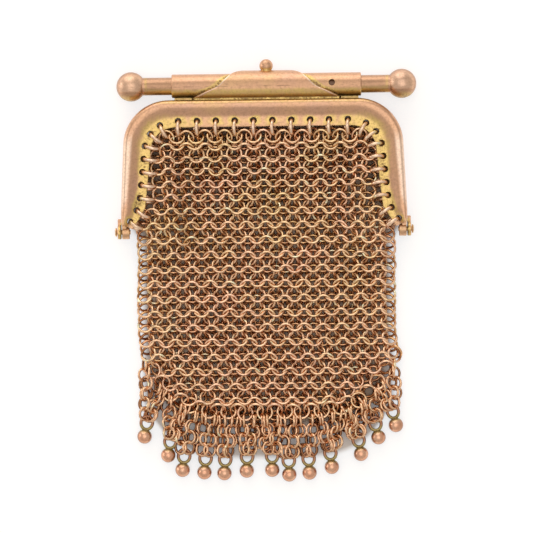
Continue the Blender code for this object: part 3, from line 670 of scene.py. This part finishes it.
back = leaf("back_leaf", -1)
half = TUBE_LENGTH / 2
soft = 0.12 * MM
profile = [(-half, TUBE_BORE), (-half, TUBE_RADIUS - soft), (soft - half, TUBE_RADIUS)]
profile += [(place / 2 * MM, TUBE_RADIUS) for place in range(-31, 32)]
profile += [(half - soft, TUBE_RADIUS), (half, TUBE_RADIUS - soft), (half, TUBE_BORE)]
tube = turned("tube", [*profile, profile[0]], (BAR_MIDDLE_X, TUBE_Y, TUBE_Z), (1, 0, 0), 64)
sight = (BAR_MIDDLE_X + 11.1 * MM, TUBE_Y + 0.26 * MM, TUBE_Z + 1.0 * MM)
tube = cut(tube, turned("sight", [(0, SIGHT_RADIUS), (2 * MM, SIGHT_RADIUS)], sight, (0, 0, 1), 24))
web_low = Vector((BAR_MIDDLE_X - half + LEAF_SHEET, HINGE_Y + ARCH_HEIGHT - 0.27 * MM, TUBE_Z - 1.0 * MM))
web_high = Vector((BAR_MIDDLE_X + half - LEAF_SHEET, TUBE_Y - TUBE_RADIUS * 0.87, TUBE_Z - 0.34 * MM))
back = merged([back, tube, block("web", web_low, web_high), *knuckles(-1)])
tarnish_and_shade_leaf(back)
leaf_gold = rose_gold("leaf_gold", 0.30)
back.data.materials.append(leaf_gold)
smooth_shaded(back)
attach(back, "purse")
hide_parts("frame_back")


# Front leaf.
# The front half of the frame is pressed as the back one. A tongue of sheet gold is soldered along its
# top and wraps over the tube, and a small ball on the tongue's tip is pushed up to open the purse.
front = leaf("front_leaf", 1)
rows = []
for point in evened(TONGUE_OUTLINE, 4):
    angle = math.radians(point.x)
    y = TUBE_Y - TONGUE_RADIUS * math.cos(angle)
    z = TUBE_Z + TONGUE_RADIUS * math.sin(angle)
    reach = point.y * TONGUE_HALF_WIDTH
    rows.append([(BAR_MIDDLE_X + reach * (step / 16 - 1), y, z) for step in range(33)])
tongue = bent_sheet("tongue", rows, TONGUE_SHEET, 1, 0.0, 0.06 * MM)
collar = THUMB_BALL_RADIUS * 0.8
seam = math.degrees(math.asin(collar / THUMB_BALL_RADIUS))
profile = [(TONGUE_RADIUS, collar), (THUMB_BALL_RISE - THUMB_BALL_RADIUS, collar)]
profile += ball_points(THUMB_BALL_RADIUS, THUMB_BALL_RISE, seam, 180, 14)
thumb = turned("thumb", profile, (BAR_MIDDLE_X, TUBE_Y, TUBE_Z), (0, 1, 0), 32)
inner = TONGUE_RADIUS - TONGUE_SHEET / 2
root_half = TONGUE_HALF_WIDTH - TONGUE_SHEET
root_y = HINGE_Y + ARCH_HEIGHT - LEAF_SHEET * 0.6
root_low = Vector((BAR_MIDDLE_X - root_half, root_y, TUBE_Z + inner * 0.28))
root_high = Vector((BAR_MIDDLE_X + root_half, TUBE_Y - inner * 0.975, TUBE_Z + inner * 0.65))
front = merged([front, tongue, thumb, block("root", root_low, root_high), *knuckles(1)])
tarnish_and_shade_leaf(front)
front.data.materials.append(leaf_gold)
smooth_shaded(front)
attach(front, "purse")
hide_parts("frame_front")


# Hinge pins.
# A headed gold pin runs through both barrels of each hinge, and is a little brassy all over.
PIN_RADIUS = 0.4 * MM
PIN_HEAD = 0.35 * MM
PIN_HEAD_RADIUS = 0.75 * MM
PIN_EDGE = 0.1 * MM
pins = []
for name, hand in (("left", -1), ("right", 1)):
    low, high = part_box(f"hinge_pin_{name}")
    length = high.x - low.x
    start = Vector(((high.x if hand < 0 else low.x), HINGE_Y, MIDDLE_Z))
    head = length - PIN_HEAD
    profile = [(0, 0), (0, PIN_RADIUS), (head, PIN_RADIUS), (head, PIN_HEAD_RADIUS - PIN_EDGE)]
    profile += [(head + PIN_EDGE, PIN_HEAD_RADIUS), (length - PIN_EDGE, PIN_HEAD_RADIUS - PIN_EDGE / 2)]
    profile.append((length, PIN_HEAD_RADIUS - 3 * PIN_EDGE))
    pins.append(turned(f"pin_{name}", [*profile, (length, 0)], start, (hand, 0, 0), 24))
pins = merged(pins)
pins.name = "headed_pins"
stored(pins.data, "tarnish_and_shading", [0.5] * len(pins.data.vertices))
pins.data.materials.append(leaf_gold)
smooth_shaded(pins)
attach(pins, "purse")
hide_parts("hinge_pin_left", "hinge_pin_right")


# Rings of the front leaf.
# A ring of thick wire goes through each hole of the leaf and through the first links of the mesh. The
# rings have almost no tarnish, and so are the palest part of the purse.
RING_RADIUS = 1.25 * MM
RING_WIRE = 0.31 * MM
RING_LEAN = 13
FLANGE_RISE = LEAF_SECTION[-1][1] * LEAF_RISE - LEAF_SHEET / 2
RING_RISE = FLANGE_RISE - (RING_RADIUS + RING_WIRE + 0.02 * MM - (MIDDLE_Z - FLANGE_RISE))
LINK_DEPTH = 1.3 * MM
RING_REACH = math.sqrt(RING_RADIUS**2 - (FLANGE_RISE - RING_RISE) ** 2)
SOLDER = (0.86, 0.76, 0.50, 1.0)
chance = np.random.default_rng(7)


def wire_gold(name, rosy, brassy, deep, roughness, brass_share, low_shade):
    """Gold wire with brassy patches. Each link has its own tint, a pale solder joint and a darker foot,
    which is painted shade with some tarnish.
    """
    material, shader, flow = new_material(name)
    tint = flow.kept("tint")
    joint = 1 - abs(flow.kept("around") - 0.5).between(0.03, 0.07)
    upper = flow.axis("Y").between(-20 * MM, 16 * MM)
    patches = flow.grain(9 * MM, 2.0).between(0.40, 0.62) * (upper * 0.8 + 0.15)
    mottle = flow.grain(0.5 * MM, 3.0).between(0.40, 0.70)
    # The low parts of each link go toward the deep colour: painted shade, with some tarnish.
    recess = 1 - (flow.kept("raised") + (mottle - 0.5) * 0.2).between(low_shade, low_shade + 0.45)
    brass = flow.maths("MINIMUM", (patches * 0.6 + tint * 0.6) * brass_share, 1.0)
    colour = brass.mixed((*rosy, 1.0), (*brassy, 1.0))
    colour = (mottle * 0.3).larger(recess * 0.9).mixed(colour, (*deep, 1.0))
    colour = (joint * tint.between(0.55, 0.9)).mixed(colour, SOLDER)
    colour.into(shader, "Base Color")
    (mottle * 0.14 + roughness).into(shader, "Roughness")
    (mottle * 0.5 + joint).bumped(0.3, 0.03 * MM).into(shader, "Normal")
    shader.inputs["Metallic"].default_value = 1.0
    return material


def piece_tree(name, sizes):
    """An empty tree with points and named sizes for its inputs, and those inputs by name."""
    tree = bpy.data.node_groups.new(name, "GeometryNodeTree")
    tree.interface.new_socket("Points", in_out="INPUT", socket_type="NodeSocketGeometry")
    for label, kind in sizes.items():
        tree.interface.new_socket(label, in_out="INPUT", socket_type=f"NodeSocket{kind}")
    tree.interface.new_socket("Pieces", in_out="OUTPUT", socket_type="NodeSocketGeometry")
    entry = tree.nodes.new("NodeGroupInput")
    return Flow(tree), {socket.name: Flow(tree, socket) for socket in entry.outputs if socket.name}


def numbered(geometry, name, value):
    """The geometry with a number kept at each of its points."""
    values = {"Geometry": geometry, "Name": name, "Value": value}
    return geometry.node("GeometryNodeStoreNamedAttribute", {}, values)


def wire_ring(flow, sides, radius, wire_sides, wire_radius, size=None, shift=None):
    """A hoop of wire that keeps, as its around number, how far round it each point is."""
    circle = "GeometryNodeCurvePrimitiveCircle"
    hoop = flow.node(circle, {}, {"Resolution": sides, "Radius": radius})
    if size:
        values = {"Geometry": hoop, "Scale": size, "Translation": shift}
        hoop = flow.node("GeometryNodeTransform", {}, values)
    hoop = numbered(hoop, "around", flow.node("GeometryNodeSplineParameter", {}, {}))
    wire = flow.node(circle, {}, {"Resolution": wire_sides, "Radius": wire_radius})
    return flow.node("GeometryNodeCurveToMesh", {}, {"Curve": hoop, "Profile Curve": wire})


def laid_on(points, piece):
    """The piece on each point, with the turn that the point keeps, as real meshes."""
    piece = piece.node("GeometryNodeSetShadeSmooth", {}, {"Geometry": piece})
    turn = piece.node("GeometryNodeInputNamedAttribute", {"data_type": "QUATERNION"}, {"Name": "turn"})
    values = {"Points": points, "Instance": piece, "Rotation": turn}
    laid = piece.node("GeometryNodeInstanceOnPoints", {}, values)
    return piece.node("GeometryNodeRealizeInstances", {}, {"Geometry": laid})


def run_tree(obj, laid, metal, sizes):
    """Ends the tree with the metal, sets its inputs, and keeps what it makes as the object's mesh."""
    laid = laid.node("GeometryNodeSetMaterial", {}, {"Geometry": laid, "Material": metal})
    laid.tree.links.new(laid.socket, laid.tree.nodes.new("NodeGroupOutput").inputs[0])
    modifier = obj.modifiers.new("pieces", "NODES")
    modifier.node_group = laid.tree
    for item in laid.tree.interface.items_tree:
        if item.name in sizes:
            modifier[item.identifier] = sizes[item.name]
    return evaluated(obj)


def point_mesh(name, places, turns):
    """A point for each piece, which keeps the piece's turn."""
    mesh = bpy.data.meshes.new(name)
    mesh.from_pydata(places, [], [])
    stored(mesh, "turn", [part for turn in turns for part in turn], "QUATERNION")
    return mesh


def lay_links(name, links, metal, radius, wire, sides=14, wire_sides=5):
    """One mesh of rings, from the place and turn of each. None goes below the surface."""
    places = []
    for (x, y, z), turn in links:
        normal = turn @ Vector((0, 0, 1))
        lowest = radius * math.hypot(normal.x, normal.y) + wire + 0.01 * MM
        places.append((x, y, max(z, lowest)))
    mesh = point_mesh(name, places, [turn for _, turn in links])
    stored(mesh, "tint", chance.random(len(links)).tolist())
    stored(mesh, "level", [place[2] for place in places])
    kinds = {"Link Sides": "Int", "Link Radius": "Float", "Wire Sides": "Int", "Wire Radius": "Float"}
    flow, given = piece_tree(name, kinds)
    link = wire_ring(flow, *[given[kind] for kind in kinds])
    laid = laid_on(given["Points"], link)
    height = flow.axis("Z", flow.node("GeometryNodeInputPosition", {}, {}))
    level = flow.node("GeometryNodeInputNamedAttribute", {"data_type": "FLOAT"}, {"Name": "level"})
    over = (height - level) * (1 / LINK_DEPTH) + 0.5
    laid = numbered(laid, "raised", over)
    sizes = {"Link Radius": radius, "Wire Radius": wire, "Link Sides": sides, "Wire Sides": wire_sides}
    return run_tree(new_object(name, mesh), laid, metal, sizes)


def turn_of(first, second, spin=0.0):
    """The turn of a ring whose plane holds both directions. spin moves its solder joint round."""
    first = first.normalized()
    normal = first.cross(second).normalized()
    second = normal.cross(first)
    turn = Matrix((first, second, normal)).transposed().to_quaternion()
    return turn @ Quaternion((0, 0, 1), spin)


def leaf_ring(place, inward, side):
    """A ring in a hole, leaning about it as the rings of the two leaves pass each other."""
    inward = Vector((inward.x, inward.y, 0))
    pivot = placed(place, side * (FLANGE_RISE + LEAF_SHEET / 2))
    centre = placed(place, side * RING_RISE) + inward * RING_REACH
    lean = Quaternion(inward, math.radians(RING_LEAN + chance.normal(0, 2.0)))
    spin = chance.uniform(0, 2 * math.pi)
    turn = lean @ turn_of(inward, Vector((0, 0, 1)), spin)
    return pivot + lean @ (centre - pivot), turn


pale_gold = wire_gold(
    "ring_gold",
    rosy=(0.95, 0.66, 0.47),
    brassy=(0.90, 0.67, 0.40),
    deep=(0.50, 0.26, 0.13),
    roughness=0.30,
    brass_share=0.4,
    low_shade=-0.4,
)
front_rings = [leaf_ring(place, inward, 1) for place, inward in hole_places()]
rings = lay_links("front_leaf_rings", front_rings, pale_gold, RING_RADIUS, RING_WIRE, 28, 10)
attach(rings, "purse")
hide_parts(*[f"frame_ring_{index:02d}" for index in range(1, 29)])


# Front wall of the mesh.
# Soldered links of fine gold wire, each through four others, in rows that lean to the front and to the
# back in turn, so that pairs of rows show as wavy lines. The wall sags from the frame to the back one.
LINK_RADIUS = 1.28 * MM
LINK_WIRE = 0.23 * MM
LINK_LEAN = 23
LINE_COUNT = 19
FIRST_LINE_Y = 21.25 * MM
LINE_PITCH_TOP = 2.07 * MM
LINE_PITCH = 2.49 * MM
LINE_EASE = 6
COLUMN_PITCH_TOP = 3.27 * MM
COLUMN_PITCH = 3.17 * MM
FRONT_EDGE_Z = MIDDLE_Z + RING_RISE
FRONT_LOW_Z = 2.02 * MM
BACK_EDGE_Z = MIDDLE_Z - RING_RISE
BACK_LOW_Z = 0.72 * MM
EDGE_FLAT = 2.4 * MM
ROOM_IN_FRAME = 1.1 * MM
ROOM_BELOW = 0.75 * MM
ROOM_AT_SEAM = 2.1 * MM
PLAY = 0.07 * MM
BAG_X = BAR_MIDDLE_X
BAG_HALF_WIDTH = 22.4 * MM
BAG_TOP_Y = HINGE_Y - 1.5 * MM
SEAM_Y = HINGE_Y - 32.0 * MM
CORNER_LIFT = 10.9 * MM

# Sides of the bag: share of the height below the hinges, left and right shares of its half width.
BAG_SIDES = (
    (0.00, 1.000, 0.985),
    (0.25, 0.997, 0.960),
    (0.50, 0.990, 0.955),
    (0.75, 0.965, 0.988),
    (1.00, 0.945, 1.005),
)


def eased(share):
    share = min(1.0, max(0.0, share))
    return share * share * (3 - 2 * share)


def seam_y(x):
    share = min(1.05, abs(x - BAG_X) / (BAG_HALF_WIDTH * 0.975))
    return SEAM_Y + CORNER_LIFT * share**4.5


def side_lines(y):
    """Left and right limits of the bag at a height."""
    if y > HINGE_Y + FOOT_CUT_HEIGHT:
        up = min(1.0, (y - HINGE_Y) / (ARCH_HEIGHT - SHOULDER_RADIUS))
        half = INNER_FOOT + (INNER_SHOULDER - INNER_FOOT) * up
        return FRAME_X - half, FRAME_X + half
    down = (BAG_TOP_Y - y) / (BAG_TOP_Y - SEAM_Y)
    shares = [row[0] for row in BAG_SIDES]
    left = np.interp(down, shares, [row[1] for row in BAG_SIDES])
    right = np.interp(down, shares, [row[2] for row in BAG_SIDES])
    return BAG_X - left * BAG_HALF_WIDTH, BAG_X + right * BAG_HALF_WIDTH


def room(x, y):
    """Distance from the bag's outline above the hinges, and from its sides below them."""
    left, right = side_lines(y)
    side = min(x - left, right - x)
    top = HINGE_Y + INNER_TOP - y
    if top < INNER_RADIUS and side < INNER_RADIUS:
        return INNER_RADIUS - math.hypot(INNER_RADIUS - top, INNER_RADIUS - side)
    return min(side, top)


def hung(x, y, sag):
    """1 beside the frame, easing to 0 where the wall lies on what is under it."""
    top = eased(1 - (HINGE_Y + INNER_TOP - EDGE_FLAT - y) / sag)
    half = INNER_SHOULDER + (INNER_FOOT - INNER_SHOULDER) * eased(1 - (y - HINGE_Y) / INNER_TOP)
    side = eased(1 - (half - EDGE_FLAT - abs(x - FRAME_X)) / sag)
    side *= eased(1 + (y - HINGE_Y) / (6 * MM))
    return max(top, side)


def column_x(y, column):
    down = eased((FIRST_LINE_Y - y) / (12 * MM))
    pitch = COLUMN_PITCH_TOP + (COLUMN_PITCH - COLUMN_PITCH_TOP) * down
    left, right = side_lines(min(y, BAG_TOP_Y))
    below = eased((BAG_TOP_Y + 6 * MM - y) / (10 * MM))
    middle = FRAME_X + ((left + right) / 2 - FRAME_X) * below
    return middle + column * pitch


def wall_links(side, low_z, edge_z, sag, shift):
    """The links of a wall, row by row. shift moves its columns by a share of their pitch."""
    rows = [(FIRST_LINE_Y + 1.75 * MM, 0.5, -1), (FIRST_LINE_Y + 1.5 * MM, 0.0, 1)]
    y = FIRST_LINE_Y
    for line in range(LINE_COUNT):
        rows += [(y + 0.62 * MM, 0.5, -1), (y - 0.62 * MM, 0.0, 1)]
        y -= LINE_PITCH_TOP + (LINE_PITCH - LINE_PITCH_TOP) * eased(line / LINE_EASE)
    links = []
    for row_y, phase, lean in rows:
        for count in range(-8, 9):
            column = count + phase + shift
            x = column_x(row_y, column) + chance.normal(0, PLAY)
            link_y = row_y + chance.normal(0, PLAY)
            space = room(x, link_y)
            needed = ROOM_IN_FRAME if row_y > HINGE_Y + 1 * MM else ROOM_BELOW
            if space < needed or link_y - seam_y(x) < ROOM_AT_SEAM:
                continue
            links.append(wall_link(x, link_y, lean, side, low_z, edge_z, sag, space))
    for count in range(-15, 15):
        x = column_x(SEAM_Y, count / 2 + 0.5 + shift) + chance.normal(0, 0.1 * MM)
        if room(x, SEAM_Y) < 0.5 * MM:
            continue
        y = seam_y(x) + (1.1 if count % 2 == 0 else 1.5) * MM + chance.normal(0, 0.1 * MM)
        lean = -0.5 if count % 2 == 0 else 1.6
        links.append(wall_link(x, y, lean, side, low_z, edge_z, sag, room(x, y)))
    return links


def wall_link(x, y, lean, side, low_z, edge_z, sag, space):
    def height(x, y):
        return low_z + (edge_z - low_z) * hung(x, y, sag)

    step = 0.3 * MM
    z = height(x, y)
    across = Vector((2 * step, 0, height(x + step, y) - height(x - step, y)))
    up = Vector((0, 2 * step, height(x, y + step) - height(x, y - step)))
    fold = 0.0
    if y < HINGE_Y:
        fold = max(0.0, 1 - space / (2.6 * MM))
        z -= side * 0.3 * MM * fold
    left, right = side_lines(y)
    outward = -1 if x < (left + right) / 2 else 1
    turn = turn_of(across, up)
    turn = turn @ Quaternion((0, 1, 0), math.radians(outward * side * 40 * fold + chance.normal(0, 4)))
    turn = turn @ Quaternion((1, 0, 0), math.radians(lean * LINK_LEAN + chance.normal(0, 3)))
    turn = turn @ Quaternion((0, 0, 1), chance.uniform(0, 2 * math.pi))
    z += chance.normal(0, 0.03 * MM)
    return (x, y, z), turn


mesh_gold = wire_gold(
    "mesh_gold",
    rosy=(0.98, 0.605, 0.40),
    brassy=(0.92, 0.66, 0.33),
    deep=(0.33, 0.11, 0.025),
    roughness=0.17,
    brass_share=0.8,
    low_shade=0.16,
)
front_links = wall_links(1, FRONT_LOW_Z, FRONT_EDGE_Z, 7.0 * MM, 0.0)
front_wall = lay_links("front_mesh_links", front_links, mesh_gold, LINK_RADIUS, LINK_WIRE)
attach(front_wall, "purse")
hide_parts("mesh_front")


# Back wall of the mesh.
# The same linked mesh, hung on the back leaf by its own 28 rings and lying on the surface. It shows
# through the front wall, half a column to the side, in darker colours that are painted shade.
back_shade_gold = wire_gold(
    "back_mesh_gold",
    rosy=(0.90, 0.48, 0.27),
    brassy=(0.82, 0.54, 0.22),
    deep=(0.24, 0.08, 0.025),
    roughness=0.22,
    brass_share=0.8,
    low_shade=0.2,
)
back_links = wall_links(-1, BACK_LOW_Z, BACK_EDGE_Z, 4.0 * MM, 0.5)
back_wall = lay_links("back_mesh_links", back_links, back_shade_gold, LINK_RADIUS, LINK_WIRE)
back_leaf_rings = [leaf_ring(place, inward, -1) for place, inward in hole_places()]
back_hung = lay_links("back_leaf_rings", back_leaf_rings, pale_gold, RING_RADIUS, RING_WIRE, 20, 8)
for wall in (back_wall, back_hung):
    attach(wall, "purse")
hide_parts("mesh_back")


# Fringe chains.
# Pairs of short chains hang from the links of the lower seam, front and back, and end in the bails of
# the drops, with a few more in the wide gaps. Their links lie turned to the left and right in turn.
CHAIN_RADIUS = 1.09 * MM
CHAIN_WIRE = 0.235 * MM
CHAIN_PITCH = 1.5 * MM
DROP_LENGTH = 9.3 * MM
BALL_RADIUS = 1.25 * MM
BAIL_HALF_WIDTH = 1.0 * MM
BAIL_HALF_HEIGHT = 1.15 * MM
BAIL_WIRE = 0.28 * MM
BAIL_STANDOFF = 1.22 * MM

# Drops from left to right: share of the bag's half width, share of the drop length below the seam.
DROPS = (
    (-0.960, 0.30),
    (-0.782, 0.65),
    (-0.674, 0.92),
    (-0.509, 0.97),
    (-0.357, 0.99),
    (-0.187, 0.95),
    (0.007, 0.94),
    (0.136, 1.03),
    (0.290, 1.00),
    (0.460, 0.90),
    (0.683, 0.67),
    (0.817, 0.37),
    (0.951, 0.15),
)

# The two pairs of chains of a drop: height above the surface, half of their spread at the seam.
CHAIN_PAIRS = ((1.8 * MM, 0.85 * MM), (1.1 * MM, 1.5 * MM))

# Chains in a gap wider than this: height, start beside the gap's middle, left or right drop, and in mm
# how far across and up from the top of its bail they end.
WIDE_GAP = 4.1 * MM
GAP_CHAINS = (
    (1.8 * MM, -0.8 * MM, 0, (0.9, 0.6)),
    (1.8 * MM, 0.8 * MM, 1, (-1.2, 0.6)),
    (1.1 * MM, 0.0, 1, (-2.0, 1.0)),
)

drop_places = []
for across, down in DROPS:
    ball = Vector((BAG_X + across * BAG_HALF_WIDTH, SEAM_Y - down * DROP_LENGTH))
    head_x = BAG_X + 0.92 * across * BAG_HALF_WIDTH
    head = Vector((head_x, seam_y(head_x)))
    drop_places.append((head, ball, (head - ball).normalized()))


def chain(start, end, level, first_turn):
    """The links of one chain between two points of the surface plane."""
    run = end - start
    down = run.normalized()
    count = max(2, round((run.length - 0.6 * MM) / CHAIN_PITCH))
    along = Vector((down.x, down.y, 0))
    sideways = Vector((-down.y, down.x, 0))
    links = []
    for index in range(count):
        share = (index + 0.5) / count
        spot = start.lerp(end, share)
        swing = 78 if index == 0 else (36 if index % 2 else -36) * first_turn
        turn = turn_of(sideways, along)
        turn = turn @ Quaternion((0, 1, 0), math.radians(swing + chance.normal(0, 8)))
        turn = turn @ Quaternion((0, 0, 1), chance.uniform(0, 2 * math.pi))
        bow = sideways * chance.normal(0, 0.16 * MM)
        place = (spot.x + bow.x, spot.y + bow.y, level + chance.normal(0, 0.05 * MM))
        links.append((place, turn))
    return links


def bail_place(ball, up):
    """Where chains end, inside the top of a drop's bail."""
    return ball + up * (BAIL_STANDOFF + 2 * BAIL_HALF_HEIGHT - 0.55 * MM)


chain_links = []
for head, ball, up in drop_places:
    bail_top = bail_place(ball, up)
    sideways = Vector((up.y, -up.x))
    for level, spread in CHAIN_PAIRS:
        for hand in (-1, 1):
            x = head.x + hand * spread
            start = Vector((x, seam_y(x) + 0.5 * MM))
            end = bail_top + sideways * hand * 0.5 * MM
            chain_links += chain(start, end, level, chance.choice((-1, 1)))
    if abs(head.x - BAG_X) > 14 * MM:
        x = head.x - math.copysign(2.1 * MM, head.x - BAG_X)
        chain_links += chain(Vector((x, seam_y(x) + 1.2 * MM)), bail_top, 1.5 * MM, 1)
for pair in zip(drop_places, drop_places[1:]):
    if pair[1][1].x - pair[0][1].x < WIDE_GAP:
        continue
    for level, shift, right, end in GAP_CHAINS:
        x = (pair[0][1].x + pair[1][1].x) / 2 + shift
        _, ball, up = pair[right]
        start = Vector((x, seam_y(x) + 0.5 * MM))
        chain_links += chain(start, bail_place(ball, up) + Vector(end) * MM, level, 1)
fringe_gold = wire_gold(
    "fringe_gold",
    rosy=(0.90, 0.54, 0.33),
    brassy=(0.82, 0.58, 0.27),
    deep=(0.30, 0.12, 0.045),
    roughness=0.20,
    brass_share=0.45,
    low_shade=0.16,
)
chains = lay_links("fringe_chains", chain_links, fringe_gold, CHAIN_RADIUS, CHAIN_WIRE)
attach(chains, "purse")
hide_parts("fringe_mesh")


# Drops.
# Each drop is a small hollow ball with a bail of thicker wire soldered on its top. Solder and tarnish
# leave a greenish brass bloom where they meet, and the ball is bright where it faces up and darker
# round its rim, partly wear and partly painted highlight and painted shade.
COPPERY = (0.80, 0.40, 0.235, 1.0)
POLISHED = (0.80, 0.49, 0.31, 1.0)
PITTED = (0.35, 0.15, 0.08, 1.0)
SHADED = (0.28, 0.11, 0.045, 1.0)
BLOOM = (0.38, 0.30, 0.10, 1.0)
drop_gold, drop_shader, flow = new_material("drop_gold")
solder = flow.kept("solder")
patches = flow.grain(1.1 * MM, 2.0).between(0.40, 0.66)
pits = flow.grain(0.25 * MM, 3.0).between(0.45, 0.75)
ball_colour = (patches * 0.55).mixed(COPPERY, POLISHED)
ball_colour = (pits * 0.35).mixed(ball_colour, PITTED)
# Darker round the ball's rim and bright on its top: painted shade and highlight, with some wear.
ball_colour = ((1 - flow.kept("wear_and_shade")) * 0.75).mixed(ball_colour, SHADED)
bloom = (solder + (pits - 0.5) * 0.5 * solder).between(0.1, 0.8)
ball_colour = (bloom * 0.85).mixed(ball_colour, BLOOM)
ball_colour.into(drop_shader, "Base Color")
(pits * 0.12 + bloom * 0.14 + 0.30).into(drop_shader, "Roughness")
(patches + pits * 0.4).bumped(0.3, 0.03 * MM).into(drop_shader, "Normal")
drop_shader.inputs["Metallic"].default_value = 1.0
drop_shader.inputs["Coat Weight"].default_value = 0.5
drop_shader.inputs["Coat Roughness"].default_value = 0.3

turns = []
for _, _, up in drop_places:
    turn = turn_of(Vector((up.y, -up.x, 0)), Vector((up.x, up.y, 0)))
    turns.append(turn @ Quaternion((0, 1, 0), math.radians(chance.normal(0, 9))))
mesh = point_mesh("drop_points", [(ball.x, ball.y, BALL_RADIUS) for _, ball, _ in drop_places], turns)
sizes = {
    "Ball Radius": BALL_RADIUS,
    "Bail Radius": BAIL_HALF_WIDTH,
    "Bail Wire": BAIL_WIRE,
    "Bail Stretch": BAIL_HALF_HEIGHT / BAIL_HALF_WIDTH,
    "Standoff": BAIL_STANDOFF,
}
flow, given = piece_tree("drops", dict.fromkeys(sizes, "Float"))
ball_radius = given["Ball Radius"]
ball = flow.node("GeometryNodeMeshUVSphere", {}, {"Segments": 32, "Rings": 20, "Radius": ball_radius})
lift = given["Standoff"] + given["Bail Radius"] * given["Bail Stretch"]
stretch = flow.node("ShaderNodeCombineXYZ", {}, {"X": 1.0, "Y": given["Bail Stretch"], "Z": 1.0})
shift = flow.node("ShaderNodeCombineXYZ", {}, {"X": 0.0, "Y": lift, "Z": 0.0})
bail = wire_ring(flow, 28, given["Bail Radius"], 10, given["Bail Wire"], stretch, shift)
drop = flow.node("GeometryNodeJoinGeometry", {}, {"Geometry": ball})
flow.tree.links.new(bail.socket, drop.socket.node.inputs[0])
spot = flow.node("GeometryNodeInputPosition", {}, {})
near = abs(flow.axis("Y", spot) - ball_radius * 1.05).between(0.2 * MM, 1.0 * MM)
wear_and_shade = flow.axis("Z", spot).between(ball_radius * 0.2, ball_radius * 0.8)
drop = numbered(numbered(drop, "solder", 1 - near), "wear_and_shade", wear_and_shade)
drops = run_tree(new_object("fringe_drops", mesh), laid_on(given["Points"], drop), drop_gold, sizes)
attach(drops, "purse")
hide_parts(*[f"fringe_ball_{index:02d}" for index in range(1, 14)])
